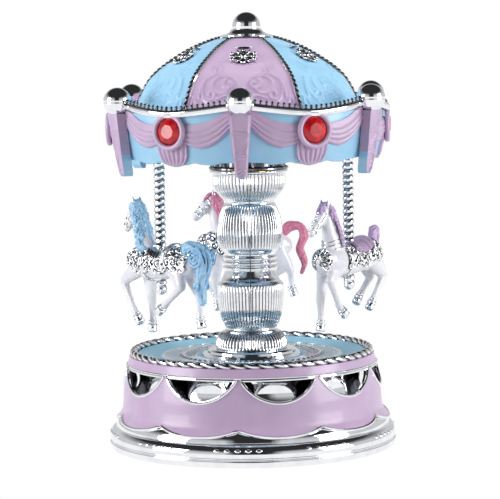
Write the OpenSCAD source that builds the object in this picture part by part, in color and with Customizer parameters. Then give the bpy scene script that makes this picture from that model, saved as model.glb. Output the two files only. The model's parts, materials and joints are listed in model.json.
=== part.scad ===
// Carousel music box: a wind-up movement in the drum turns the canopy, and three horses
// hang from the canopy on twisted poles round a fixed column.
// Millimetres, +Z up. The origin is at the middle of the foot's underside; the front is -Y.

/* [Base] */
// Widest diameter of the foot
foot_d = 110; // [108:0.5:112]
// Height of the foot, up to the drum's lower edge
foot_h = 9.3; // [9.2:0.1:9.6]
// Height of the deck inside the rope rim
deck_z = 33.6; // [33.4:0.1:33.8]
// Number of half-moon swags round the drum
swags = 10; // [8:1:12]
// Azimuth of one swag cusp, from the front
swag_turn = -6; // [-18:1:18]

/* [Column] */
// Height at which the column shells stand on their pedestal
column_z0 = 37; // [36.9:0.1:37.2]
// Height of the column shells' top
column_z1 = 105; // [105:0.1:105.3]
// Radius of the bore inside the column shells
column_bore_r = 7.6; // [7.6:0.1:8]
// Radius of the drive shaft
shaft_r = 2.5; // [2.4:0.1:2.6]

/* [Canopy] */
// Number of canopy panels, ball finials, gems and tassels
panels = 6; // [6:1:6]
// Azimuth of the first ball finial, from the front
canopy_turn = -2.9; // [-30:0.1:30]
// Radius of the circle of ball finials
ball_ring_r = 54.2; // [54:0.1:54.5]
// Diameter of a ball finial
ball_d = 10.5; // [10:0.1:11]
// Height of the ball finials' centres
ball_z = 132.6; // [132:0.1:133]
// Lower edge of the valance
valance_z = 109.8; // [109.5:0.1:110.2]
// Overall height, at the top of the finial ball
total_h = 165; // [164:0.5:166]

/* [Horses] */
// Radius of the circle on which the poles stand
pole_ring_r = 40.8; // [40:0.1:41.5]
// Diameter of a pole
pole_d = 4.3; // [4:0.1:4.6]
// Azimuth of each pole from the front: left, right and back horse
pole_turn = [-54.7, 65.3, 185.3]; // [-180:0.1:360]
// Direction in which each horse looks, anticlockwise from +X
horse_heading = [130.5, 233, 183]; // [0:0.5:360]

/* [Movement] */
// Teeth of the crown wheel on the winding arbor
crown_teeth = 60; // [60:1:60]
// Teeth of the pinion that the crown wheel drives
crown_pinion_teeth = 16; // [16:1:16]
// Teeth of the gear at the far end of the note cylinder
cylinder_gear_teeth = 30; // [30:1:30]
// Teeth of the pinion that the cylinder gear drives
train_pinion_teeth = 10; // [10:1:10]
// Teeth of the wheel that drives the governor's worm
train_wheel_teeth = 24; // [24:1:24]
// Teeth of the comb, one for each note
notes = 18; // [12:1:22]

/* [Hidden] */

fit = 0.05;             // gap between two fixed pieces that fit together
running = 0.04;         // radial clearance of a shaft in its bush
foot_r = foot_d / 2;
moon_top_z = 31.2;      // straight upper edge of the half-moon windows
moon_r = 16;            // radius of a half-moon's round lower edge
moon_z = 38.6;          // height of that circle's centre
rope_r = 1.5;           // radius of the rope rim's section
rope_ring_r = foot_r - 9.8;
cover_z = 8.2;          // underside of the bottom cover
cover_screw_r = 43.5;   // radius of the circle of its screws
plate_z = 10.6;         // underside of the movement's bedplate
plate_top = plate_z + 1.4;
axis_z = 24.2;          // height of the note cylinder's axis
crown_r = 12;           // pitch radius of the crown wheel
crown_pinion_r = crown_r * crown_pinion_teeth / crown_teeth;
gear_module = 0.5;      // size of the teeth of the train
cylinder_gear_r = gear_module * cylinder_gear_teeth / 2;
train_pinion_r = gear_module * train_pinion_teeth / 2;
train_wheel_r = gear_module * train_wheel_teeth / 2;
train_y = cylinder_gear_r + train_pinion_r;
worm_y = train_y + train_wheel_r + gear_module + 1.3;
worm_x = 33;
ceiling_z = 113;        // underside of the canopy's ceiling
finial_r = 5.3;
finial_z = total_h - finial_r;
pole_r = pole_d / 2;
knob_z = 61.6;          // centre of the knob under a horse
gem_z = 122;
gem_ring_r = 51.95;
gem_r = 5.1;

// Outline of the column, from its foot to its top: radius and height
column_outline = [
  [13.6, 37], [13.9, 38.4], [13.4, 40.7], [11.9, 42.8], [9.7, 44.4], [9.9, 46], [11.3, 49], [12.2, 52.2],
  [12.7, 55.4], [12.7, 61], [12.2, 62.3], [11.1, 63.4], [10.1, 65.2], [9.8, 67.2],
  [10.3, 68], [9.9, 69], [10.3, 70], [9.9, 71], [10.3, 72], [10, 73.2], [10.6, 74.3],
  [11.8, 75.8], [12.4, 77.9], [12.5, 81], [12.2, 84], [11.8, 87.1], [10.9, 89.7], [9.8, 92.3],
  [9.9, 93.6], [11.3, 95.3], [13.4, 97.9], [14, 99.2], [14, 104.3], [15.1, 105]];

// Outline of the dome, from its crown to its eaves: radius and height
dome_outline = [
  [7, 156], [12.5, 155.2], [20, 153], [27, 148.9], [33.2, 143.9], [38.2, 138.8],
  [43, 134.9], [48, 131.9], [51.4, 130.6]];

// Rotates its children to an azimuth from the front, positive towards +X
module at_azimuth(a) { rotate([0, 0, a]) children(); }

// A ring with a rectangular section
module ring(r_out, r_in, z0, z1) {
  rotate_extrude($fn = 96) translate([r_in, z0]) square([r_out - r_in, z1 - z0]);
}

// A straight-sided gear about +Z, with one tooth pointing along +X when turned by 0
module gear(teeth, pitch_r, width, turn = 0, bore = 0.8) {
  half = 90 / teeth * 0.8;
  difference() {
    union() {
      cylinder(r = pitch_r - 0.55, h = width, $fn = 48);
      for (i = [0 : teeth - 1])
        rotate([0, 0, turn + i * 360 / teeth])
          linear_extrude(width)
            polygon([
              [pitch_r - 0.9, -pitch_r * sin(half) * 1.25], [pitch_r + 0.35, -pitch_r * sin(half) * 0.55],
              [pitch_r + 0.35, pitch_r * sin(half) * 0.55], [pitch_r - 0.9, pitch_r * sin(half) * 1.25]]);
    }
    translate([0, 0, -1]) cylinder(r = bore, h = width + 2, $fn = 24);
  }
}

// Lays children, drawn about +Z, along +X at the note cylinder's height
module along_x(x, y) { translate([x, y, axis_z]) rotate([90, 0, 90]) children(); }

// ---------- base ----------

module foot_ring() {
  color("silver") rotate_extrude($fn = 120) polygon([
    [foot_r - 8.4, 0], [foot_r - 0.9, 0], [foot_r - 0.1, 0.8], [foot_r, 2.2], [foot_r - 0.6, 2.9],
    [foot_r - 0.1, 3.6], [foot_r, 4.8], [foot_r - 0.5, 6.3], [foot_r - 1.5, 7.6], [foot_r - 2.8, 8.3],
    [foot_r - 3.1, foot_h], [foot_r - 4.1, 12.4], [foot_r - 8.4, 12.4]]);
}

// Children stand at each of the five screws of the bottom cover
module at_cover_screws() {
  for (i = [0 : 4]) rotate([0, 0, 18 + i * 72]) translate([cover_screw_r, 0, 0]) children();
}

module drum_shell() {
  color("plum") difference() {
    rotate_extrude($fn = 120) polygon([
      [foot_r - 4.2, 12.5], [foot_r - 5.4, 15], [foot_r - 5.7, 22], [foot_r - 6.3, 28], [foot_r - 7, 30.8],
      [foot_r - 7.6, 32.4], [foot_r - 8.1, 34.3], [foot_r - 13, 34], [foot_r - 13, 32.4],
      [foot_r - 8.6, 31.7], [foot_r - 8.6, 29], [foot_r - 7.7, 22], [foot_r - 7.6, 13.6],
      [foot_r - 14, 13.6], [foot_r - 14, 10], [foot_r - 8.5, 10], [foot_r - 8.5, 12.5]]);
    at_cover_screws() translate([0, 0, 9]) cylinder(r = 1.3, h = 3.6, $fn = 24);
    for (i = [0 : swags - 1]) at_azimuth(swag_turn + (i + 0.5) * 360 / swags) moon_cut(moon_r);
  }
}

// The half-moon at the front, as a solid that runs through the drum's wall
module moon_cut(r) {
  intersection() {
    translate([0, -foot_r + 12, moon_z]) rotate([90, 0, 0]) cylinder(r = r, h = 14, $fn = 48);
    translate([-20, -foot_r - 2, moon_top_z - 12]) cube([40, 14, 12]);
  }
}

module swag_liner() {
  color("silver") ring(foot_r - 8.8, foot_r - 10, 20.6, 31.5);
}

module swag_trims() {
  color("white") for (i = [0 : swags - 1]) at_azimuth(swag_turn + (i + 0.5) * 360 / swags)
    intersection() {
      difference() {
        translate([0, -foot_r + 12, moon_z]) rotate([90, 0, 0]) cylinder(r = moon_r - fit, h = 14, $fn = 48);
        translate([0, -foot_r + 13, moon_z]) rotate([90, 0, 0]) cylinder(r = moon_r - 1, h = 16, $fn = 48);
      }
      translate([-20, -foot_r - 2, moon_top_z - 12 - fit]) cube([40, 14, 12]);
      ring(foot_r - 5.6, foot_r - 8.6, 20, 32);
    }
}

module rope_rim() {
  color("silver") rotate_extrude($fn = 120) translate([rope_ring_r, 36]) circle(r = rope_r, $fn = 32);
}

module deck_dish() {
  color("skyblue") rotate_extrude($fn = 120) polygon([
    [8.1, deck_z - 1.4], [35, deck_z - 1.4], [41, deck_z + 0.6], [43.6, deck_z + 0.6], [43.6, deck_z + 2],
    [42.6, deck_z + 2], [35, deck_z], [8.1, deck_z]]);
}

module deck_lace() {
  color("silver") difference() {
    rotate_extrude($fn = 120) polygon([
      [19.2, deck_z + fit], [35, deck_z + fit], [35, deck_z + 0.9], [33.6, deck_z + 1.1], [28, deck_z + 0.8],
      [27, deck_z + 1.2], [26, deck_z + 0.8], [20.4, deck_z + 0.8], [19.2, deck_z + 1.2]]);
    for (i = [0 : 11]) rotate([0, 0, i * 30]) translate([30.8, 0, deck_z - 1]) cylinder(r = 1.6, h = 4, $fn = 24);
  }
}

module column_pedestal() {
  color("silver") rotate_extrude($fn = 96) polygon([
    [8.1, deck_z + fit], [18.8, deck_z + fit], [19, 34.4], [18.6, 35.3], [17, 35.5],
    [16.8, 36.3], [16.2, 36.9], [8.1, 36.9]]);
}

// One half of the column's shell; the two meet in the plane X = 0
module column_half() {
  rotate([0, 0, -90]) rotate_extrude(angle = 180, $fn = 96)
    polygon(concat([[column_bore_r, column_z0]], column_outline, [[column_bore_r, column_z1]]));
}

module column_right_shell() { color("silver") column_half(); }
module column_left_shell() { color("gainsboro") rotate([0, 0, 180]) column_half(); }

module column_top_collar() {
  color("dimgray") ring(15.2, 9.2, column_z1 + 0.4, 111.4);
}

module bush(z0, z1, r_out, flange_r, flange_z0, flange_z1) {
  color("goldenrod") difference() {
    union() {
      translate([0, 0, z0]) cylinder(r = r_out, h = z1 - z0, $fn = 48);
      translate([0, 0, flange_z0]) cylinder(r = flange_r, h = flange_z1 - flange_z0, $fn = 48);
    }
    translate([0, 0, z0 - 1]) cylinder(r = shaft_r + running, h = z1 - z0 + 2, $fn = 48);
  }
}

module lower_bush() { bush(30.6, 42, column_bore_r - fit, 10, 30.6, 32.1); }
module upper_bush() { bush(98, 108, column_bore_r - fit, 9, column_z1 + fit, 106.6); }

module bottom_cover() {
  color("plum") difference() {
    union() {
      translate([0, 0, cover_z]) cylinder(r = foot_r - 8.6, h = 1.6, $fn = 96);
      for (p = plate_posts) translate([p[0], p[1], cover_z]) cylinder(r = 2.6, h = plate_z - cover_z - fit, $fn = 32);
    }
    translate([0, 0, cover_z - 1]) cylinder(r = 3.2, h = 5, $fn = 48);
    at_cover_screws() translate([0, 0, cover_z - 1]) cylinder(r = 1.3, h = 5, $fn = 24);
    for (p = plate_posts) translate([p[0], p[1], cover_z - 1]) cylinder(r = 1.3, h = 5, $fn = 24);
  }
}

// A pan-head screw that points up, with the underside of its head at z = 0
module screw(length, r = 1.2) {
  difference() {
    union() {
      cylinder(r = r, h = length, $fn = 24);
      translate([0, 0, -1.1]) cylinder(r = r * 1.9, h = 1.1, $fn = 24);
    }
    translate([-r * 2, -0.3, -1.6]) cube([r * 4, 0.6, 1]);
  }
}

module cover_screws() {
  color("silver") at_cover_screws() translate([0, 0, cover_z - fit]) screw(3.6);
}

// ---------- movement ----------

plate_posts = [[-16, -16], [-16, 16], [30, -20], [26, 24]];

module movement_bedplate() {
  color("darkkhaki") difference() {
    intersection() {
      translate([-20, -24, plate_z]) cube([58, 52, plate_top - plate_z]);
      translate([0, 0, plate_z - 1]) cylinder(r = 40, h = 5, $fn = 96);
    }
    translate([0, 0, plate_z - 1]) cylinder(r = 3, h = 5, $fn = 48);
    for (p = plate_posts) translate([p[0], p[1], plate_z - 1]) cylinder(r = 1.3, h = 5, $fn = 24);
    translate([worm_x, worm_y, plate_z - 1]) cylinder(r = 0.64, h = 5, $fn = 24);
  }
}

module bedplate_screws() {
  color("silver") for (p = plate_posts) translate([p[0], p[1], cover_z - fit]) screw(3.7);
}

module spring_housing() {
  color("goldenrod") difference() {
    translate([0, 0, plate_top + fit]) cylinder(r = 13, h = 6.6, $fn = 72);
    translate([0, 0, plate_top + 0.8]) cylinder(r = 12.2, h = 5, $fn = 72);
    translate([0, 0, plate_top - 1]) cylinder(r = 2.2, h = 9, $fn = 48);
  }
}

// The mainspring: a flat spiral strip of eight turns
module mainspring() {
  turns = 8;
  inner_r = 2.6;
  outer_r = 11.7;
  strip = 0.35;
  step = 18;
  function spiral_r(a) = inner_r + (outer_r - inner_r) * a / (turns * 360);
  inner = [for (a = [0 : step : turns * 360]) [spiral_r(a) * cos(a), spiral_r(a) * sin(a)]];
  outer = [for (a = [turns * 360 : -step : 0]) [(spiral_r(a) + strip) * cos(a), (spiral_r(a) + strip) * sin(a)]];
  color("slategray") translate([0, 0, plate_top + 1.2]) linear_extrude(4) polygon(concat(inner, outer));
}

module comb() {
  base_y = -10;
  tip_y = -6.3;
  pitch = 15 / notes;
  color("lightsteelblue") difference() {
    union() {
      translate([15.6, -19, axis_z - 0.5]) cube([16.8, 9, 1]);
      translate([15.6, -19, plate_top + fit]) cube([16.8, 5, axis_z - plate_top - 0.5]);
      for (i = [0 : notes - 1])
        translate([16.6 + i * pitch, base_y - 0.1, axis_z - 0.2]) cube([pitch * 0.7, tip_y - base_y + 0.1, 0.4]);
    }
    for (x = [19, 29]) translate([x, -16.5, axis_z - 3]) cylinder(r = 0.9, h = 5, $fn = 24);
  }
}

module comb_screws() {
  color("silver") for (x = [19, 29])
    translate([x, -16.5, axis_z + 0.55]) rotate([180, 0, 0]) screw(2.6, 0.85);
}

module cylinder_bracket() {
  color("darkkhaki") {
    difference() {
      translate([14, -3.5, plate_top + fit]) cube([1, 7, axis_z - plate_top + 3]);
      along_x(13, 0) cylinder(r = 1 + running, h = 3, $fn = 32);
    }
    difference() {
      translate([36, -8, plate_top + fit]) cube([1, 22, axis_z - plate_top + 3.2]);
      along_x(35, 0) cylinder(r = 1 + running, h = 3, $fn = 32);
      along_x(35, train_y) cylinder(r = 0.8 + running, h = 3, $fn = 32);
    }
  }
}

module governor_bracket() {
  color("darkkhaki") difference() {
    union() {
      translate([worm_x - 2, worm_y + 4.3, plate_top + fit]) cube([2.6, 1, 18]);
      translate([worm_x - 2, worm_y - 2, plate_top + 17]) cube([4, 7, 1.05]);
    }
    translate([worm_x, worm_y, plate_top + 15]) cylinder(r = 0.6 + running, h = 5, $fn = 24);
  }
}

// ---------- turning works ----------

module winding_key() {
  color("silver") difference() {
    union() {
      translate([0, 0, 2.6]) cylinder(r = 3.2, h = 5, $fn = 48);
      for (s = [-1, 1]) translate([s * 8.5, 1.1, 4]) rotate([90, 0, 0]) difference() {
        cylinder(r = 3, h = 2.2, $fn = 48);
        translate([0, 0, -1]) cylinder(r = 1.4, h = 5, $fn = 32);
      }
      translate([-7, -1.1, 3]) cube([14, 2.2, 2.4]);
    }
    translate([0, 0, 3.6]) cylinder(r = 1.8, h = 6, $fn = 32);
  }
}

module winding_arbor() {
  color("lightsteelblue") {
    translate([0, 0, 3.8]) cylinder(r = 1.75, h = 18.6, $fn = 32);
    translate([0, 0, 22.4]) cylinder(r = 1.2, h = 5.2, $fn = 32);
  }
}

module crown_wheel() {
  half = 90 / crown_teeth * 0.8;
  face_z = axis_z - crown_pinion_r - 0.45;
  color("goldenrod") difference() {
    union() {
      translate([0, 0, face_z - 1.4]) cylinder(r = 13.3, h = 1.4, $fn = 96);
      translate([0, 0, face_z - 1.4]) cylinder(r = 4, h = 2.6, $fn = 48);
      for (i = [0 : crown_teeth - 1]) rotate([0, 0, (i + 0.5) * 360 / crown_teeth])
        translate([10.8, 0, face_z - 0.1]) rotate([90, 0, 90]) linear_extrude(2.4) polygon([
          [-crown_r * sin(half) * 1.1, 0], [crown_r * sin(half) * 1.1, 0],
          [crown_r * sin(half) * 0.5, 0.75], [-crown_r * sin(half) * 0.5, 0.75]]);
    }
    translate([0, 0, 10]) cylinder(r = 1.78, h = 20, $fn = 32);
  }
}

module drive_shaft() {
  color("lightsteelblue") difference() {
    translate([0, 0, 22.5]) cylinder(r = shaft_r, h = 121 - 22.5, $fn = 48);
    translate([0, 0, 21]) cylinder(r = 1.23, h = 7, $fn = 32);
    translate([0, 0, 112]) cylinder(r = 1.25, h = 12, $fn = 32);
  }
}

module note_cylinder() {
  rows = 12;
  color("gold") {
    difference() {
      along_x(16, 0) cylinder(r = 5.4, h = 16, $fn = 72);
      along_x(15, 0) cylinder(r = 1 + fit, h = 18, $fn = 32);
    }
    // a pin for each note and each step of the tune, spread by a fixed rule
    for (i = [0 : rows - 1]) for (k = [0 : 3])
      along_x(16.9 + ((i * 7 + k * 5) % notes) * 15 / notes, 0)
        rotate([0, 0, i * 360 / rows + k * 7 + 12]) translate([5.2, 0, 0]) rotate([0, 90, 0])
          cylinder(r = 0.2, h = 0.6, $fn = 13);
  }
}

module cylinder_arbor() {
  color("goldenrod") {
    along_x(10.4, 0) cylinder(r = 1, h = 26.8, $fn = 32);
    along_x(11, 0) gear(crown_pinion_teeth, crown_pinion_r, 2, 90, 0.9);
    along_x(34, 0) gear(cylinder_gear_teeth, cylinder_gear_r, 1.2, 0, 0.9);
  }
}

module train_wheel() {
  color("goldenrod") {
    along_x(32.4, train_y) cylinder(r = 0.8, h = 4.8, $fn = 32);
    along_x(32.6, train_y) gear(train_wheel_teeth, train_wheel_r, 0.9, 0, 0.7);
    along_x(34, train_y) gear(train_pinion_teeth, train_pinion_r, 1.2, 180 / train_pinion_teeth, 0.7);
  }
}

module governor_worm() {
  color("white") translate([worm_x, worm_y, 0]) {
    translate([0, 0, plate_z + 0.4]) cylinder(r = 0.6, h = plate_top + 17.8 - plate_z, $fn = 32);
    translate([0, 0, 19.4]) for (z = [0 : 1 : 8]) translate([0, 0, z]) {
      cylinder(r1 = 0.7, r2 = 1.1, h = 0.5, $fn = 32);
      translate([0, 0, 0.5]) cylinder(r1 = 1.1, r2 = 0.7, h = 0.5, $fn = 32);
    }
    translate([-4, -0.3, 14]) cube([8, 0.6, 3.8]);
    translate([0, 0, 13]) cylinder(r = 1.2, h = 5, $fn = 32);
  }
}

// ---------- canopy ----------

module canopy_hub() {
  color("skyblue") difference() {
    translate([0, 0, ceiling_z + 2 + fit]) cylinder(r = 9, h = 7.8, $fn = 72);
    translate([0, 0, ceiling_z]) cylinder(r = shaft_r + 0.02, h = 8.1, $fn = 48);
    translate([0, 0, ceiling_z]) cylinder(r = 1.3, h = 12, $fn = 32);
  }
}

module hub_screw() {
  color("silver") translate([0, 0, 122.9]) rotate([180, 0, 0]) screw(8, 1.2);
}

module canopy_ceiling() {
  color("skyblue") difference() {
    translate([0, 0, ceiling_z]) cylinder(r = 46.9, h = 2, $fn = 120);
    translate([0, 0, ceiling_z - 1]) cylinder(r = shaft_r + 0.1, h = 4, $fn = 48);
    for (a = pole_turn) at_azimuth(a) translate([0, -pole_ring_r, ceiling_z - 1]) cylinder(r = 3.9, h = 4, $fn = 48);
  }
}

module pole_sockets() {
  color("white") for (a = pole_turn) at_azimuth(a) translate([0, -pole_ring_r, 0]) difference() {
    union() {
      translate([0, 0, ceiling_z]) cylinder(r = 3.9 - fit, h = 3.2, $fn = 48);
      translate([0, 0, ceiling_z + 2 + fit]) cylinder(r = 4.8, h = 1.15, $fn = 48);
    }
    translate([0, 0, ceiling_z - 1]) cylinder(r = 1.6 + running, h = 6, $fn = 48);
  }
}

module canopy_valance() {
  color("skyblue") rotate_extrude($fn = 120) polygon([
    [48.8, valance_z], [50.2, 115], [51.2, 120], [51.6, 126], [51.6, 129.9], [49.8, 129.9],
    [49.8, 126], [49.4, 120], [48.4, 115], [47, valance_z]]);
}

module canopy_dome() {
  inner = [for (i = [len(dome_outline) - 1 : -1 : 0]) dome_outline[i] - [1.1, 1.5]];
  color("plum") rotate_extrude($fn = 120)
    polygon(concat(dome_outline, [[51.4, 130], [49, 130]], [for (i = [1 : len(inner) - 1]) inner[i]]));
}

module rim_band() {
  color("silver") rotate_extrude($fn = 120) polygon([
    [51.7, 128.4], [53, 128.5], [53.8, 129.1], [54.1, 130], [53.6, 131.2], [52.6, 131.8], [51.7, 131.4]]);
}

// Beads along the six seams between the panels, larger towards the eaves
module seam_beads() {
  beads = 12;
  color("silver") for (p = [0 : panels - 1]) at_azimuth(canopy_turn + (p + 0.5) * 360 / panels)
    for (i = [0 : beads - 1]) {
      s = i / (beads - 1);
      r = 13 + 36 * s;
      translate([0, -r, dome_height(r) + 0.35]) sphere(r = 0.6 + 0.35 * s, $fn = 24);
    }
}

// Height of the dome's surface at a radius
function dome_height(r) = lookup(r, dome_outline);

module ball_finials() {
  color("silver") for (p = [0 : panels - 1]) at_azimuth(canopy_turn + p * 360 / panels)
    translate([0, -ball_ring_r, ball_z]) sphere(d = ball_d, $fn = 48);
}

// Children drawn about +Z stand on the valance at each gem, pointing outwards
module at_gems() {
  for (p = [0 : panels - 1]) at_azimuth(canopy_turn + (p + 0.5) * 360 / panels)
    translate([0, -gem_ring_r, gem_z]) rotate([90, 0, 0]) children();
}

module gems() {
  color("crimson") at_gems() rotate_extrude($fn = 48)
    polygon([[0, 0.4], [gem_r - 0.4, 0.4], [gem_r - 0.2, 0.9], [gem_r * 0.62, 1.7], [0, 1.9]]);
}

module gem_bezels() {
  color("plum") at_gems() rotate_extrude($fn = 48)
    polygon([[gem_r - 0.1, -0.3], [gem_r + 1.2, -0.3], [gem_r + 1.1, 0.5], [gem_r + 0.6, 1.3], [gem_r - 0.1, 0.9]]);
}

module tassels() {
  color("plum") for (p = [0 : panels - 1]) at_azimuth(canopy_turn + p * 360 / panels) hull() {
    translate([-4.2, -56.2, 125.8]) cube([8.4, 4, 1.5]);
    translate([-2.2, -52.6, 104.9]) cube([4.4, 3, 1.5]);
  }
}

module finial_pedestal() {
  color("silver") rotate_extrude($fn = 72) polygon([
    [0, 153.2], [5.8, 153.2], [5.8, 156.1], [9.8, 156.1], [8.4, 156.7], [6.8, 157.6], [5.8, 158.7], [0, 158.7]]);
}

module finial_ball() {
  color("silver") difference() {
    translate([0, 0, finial_z]) sphere(r = finial_r, $fn = 64);
    translate([0, 0, 150]) cylinder(r = 8, h = 8.75, $fn = 48);
  }
}

// ---------- horses ----------
// A horse is drawn with its pole at the origin, its nose along +X and its left side at +Y.

module place_horse(i) {
  at_azimuth(pole_turn[i]) translate([0, -pole_ring_r, 0]) rotate([0, 0, horse_heading[i] - pole_turn[i]]) children();
}

// Joints of the four legs of each horse: hip or shoulder, knee or hock, fetlock, hoof
horse_legs = [
  [[[11.5, 2.6, 69], [18.4, 3.6, 64.4], [12.2, 3.6, 54], [8.6, 3.6, 49.2]],
   [[10, -2.6, 68], [9.4, -3, 57], [9, -3, 49.6], [9.6, -3, 46]],
   [[-13, 2.8, 70], [-18.6, 3.4, 62.2], [-6.6, 3.4, 55.4], [-4, 3.4, 52.8]],
   [[-15, -2.8, 70], [-19, -3, 61], [-19.2, -3, 52], [-20, -3, 48.6]]],
  [[[11.5, 2.6, 69], [17.6, 3.4, 66], [11.4, 3.4, 55.6], [7.4, 3.4, 51.6]],
   [[10, -2.6, 68], [10.4, -3, 58], [9.6, -3, 50.4], [9.4, -3, 47.4]],
   [[-13, 2.8, 70], [-18, 3.4, 63], [-10.6, 3.4, 56], [-8, 3.4, 52.6]],
   [[-14, -2.8, 70], [-19.4, -3, 63], [-13.4, -3, 56], [-10.6, -3, 53]]],
  [[[10, 2.6, 68], [10.4, 3, 58], [9.4, 3, 50.4], [9.6, 3, 47.4]],
   [[11.5, -2.6, 69], [18, -3.4, 65], [12, -3.4, 55], [8.4, -3.4, 50.6]],
   [[-14, 2.8, 70], [-20.6, 3, 62.4], [-20.4, 3, 55.4], [-21, 3, 52.6]],
   [[-13, -2.8, 70], [-18, -3.4, 62.6], [-8, -3.4, 56], [-5.4, -3.4, 53]]]];
// Poll, muzzle and root of the neck of each horse
horse_heads = [
  [[13.6, 0, 90.6], [18.6, 0, 83.4], [9.4, 0, 75]],
  [[13.2, 0, 91.4], [18.2, 0, 84.8], [9.4, 0, 75.6]],
  [[10.6, 0, 91], [17.6, 0, 83.8], [8.6, 0, 76]]];
// Points of the tail's arch, from the croup to the tip
horse_tails = [
  [[-18.4, 0, 76.4], [-22.6, 0, 78.6], [-25, -0.6, 73], [-24, -0.6, 66], [-25, -0.4, 61]],
  [[-18.2, 0, 76.6], [-21, 0, 80], [-23, 0, 76.6], [-22.6, 0, 71], [-22.4, 0, 66]],
  [[-18.6, 0, 76.6], [-22.8, 0, 81.4], [-26.4, 0, 77], [-25, 0, 70], [-26, 0, 65]]];

module blob(p, r) { translate(p) sphere(r = r, $fn = 14); }
module limb(p, q, rp, rq) { hull() { blob(p, rp); blob(q, rq); } }

module barrel(grow = 0) {
  hull() {
    blob([9.4, 0, 72.4], 5 + grow);
    blob([-2, 0, 72.2], 4.9 + grow);
    blob([-13.6, 0, 72.6], 5.2 + grow);
  }
}

module pole_hole(i) { cylinder(r = pole_r + fit, h = 130, $fn = 24); }

module horse_body(i) {
  head = horse_heads[i];
  color("ghostwhite") place_horse(i) difference() {
    union() {
      barrel();
      limb(head[2], head[0], 4.2, 2.7);
      limb(head[0] + [0.4, 0, -0.6], head[1], 2.8, 1.6);
      for (s = [-1, 1]) limb(head[0] + [-0.4, s * 1.3, 1.6], head[0] + [-0.2, s * 1.7, 4], 0.9, 0.4);
      for (leg = horse_legs[i]) {
        limb(leg[0], leg[1], 3.2, 1.9);
        limb(leg[1], leg[2], 1.8, 1.2);
        limb(leg[2], leg[3], 1.25, 1.6);
      }
    }
    pole_hole(i);
  }
}

module horse_hair(i, hair_colour) {
  head = horse_heads[i];
  tail = horse_tails[i];
  color(hair_colour) place_horse(i) {
    difference() {
      limb(head[0] + [-1.6, 0, 1.6], head[2] + [-4, 0, 5], 2.6, 2.2);
      limb(head[2], head[0], 4.2 + fit, 2.7 + fit);
      barrel(fit);
      pole_hole(i);
    }
    difference() {
      for (k = [0 : len(tail) - 2]) limb(tail[k], tail[k + 1], 2.2 - 0.1 * k, 2.1 - 0.2 * k);
      barrel(fit);
    }
  }
}

// The plated saddle cloth and girth, a thin shell over the barrel
module horse_harness(i) {
  color("silver") place_horse(i) difference() {
    barrel(0.7);
    barrel(fit);
    translate([-30, -10, 60]) cube([60, 20, 9.4]);
    translate([6.5, -10, 60]) cube([20, 20, 30]);
    translate([-36, -10, 60]) cube([22, 20, 30]);
    pole_hole(i);
  }
}

module horse_pole(i) {
  color("silver") place_horse(i) {
    translate([0, 0, knob_z]) cylinder(r = pole_r, h = ceiling_z - 0.4 - knob_z, $fn = 48);
    translate([0, 0, ceiling_z - 1]) cylinder(r = 1.6, h = 5.2, $fn = 48);
    translate([0, 0, ceiling_z + 3.4]) cylinder(r = 3, h = 1, $fn = 48);
    translate([0, 0, knob_z]) sphere(r = 2.4, $fn = 32);
  }
}

module left_horse_pole() { horse_pole(0); }
module left_horse_body() { horse_body(0); }
module left_horse_hair() { horse_hair(0, "lightskyblue"); }
module left_horse_harness() { horse_harness(0); }
module right_horse_pole() { horse_pole(1); }
module right_horse_body() { horse_body(1); }
module right_horse_hair() { horse_hair(1, "plum"); }
module right_horse_harness() { horse_harness(1); }
module back_horse_pole() { horse_pole(2); }
module back_horse_body() { horse_body(2); }
module back_horse_hair() { horse_hair(2, "palevioletred"); }
module back_horse_harness() { horse_harness(2); }

foot_ring();
drum_shell();
swag_liner();
swag_trims();
rope_rim();
deck_dish();
deck_lace();
column_pedestal();
column_left_shell();
column_right_shell();
column_top_collar();
lower_bush();
upper_bush();
bottom_cover();
cover_screws();
movement_bedplate();
bedplate_screws();
spring_housing();
mainspring();
comb();
comb_screws();
cylinder_bracket();
governor_bracket();
winding_key();
winding_arbor();
crown_wheel();
drive_shaft();
canopy_hub();
hub_screw();
canopy_ceiling();
pole_sockets();
canopy_valance();
canopy_dome();
rim_band();
seam_beads();
ball_finials();
gems();
gem_bezels();
tassels();
finial_pedestal();
finial_ball();
note_cylinder();
cylinder_arbor();
train_wheel();
governor_worm();
left_horse_pole();
left_horse_body();
left_horse_hair();
left_horse_harness();
right_horse_pole();
right_horse_body();
right_horse_hair();
right_horse_harness();
back_horse_pole();
back_horse_body();
back_horse_hair();
back_horse_harness();
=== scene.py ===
# %% [markdown]
# # A wind-up carousel music box
# The object stands on a plated foot. A lilac drum with ten half-moon windows holds the movement, a
# fluted column rises from its deck, and the movement turns a scalloped canopy with three horses on
# twisted poles. The CAD model gives the frame: every size and every moving body. This file gives the
# finished shapes and the finishes, in the same frame, so nothing has to be fitted afterwards.

import json
import math

import bmesh
import bpy
import numpy as np
from mathutils import Matrix, Vector


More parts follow.
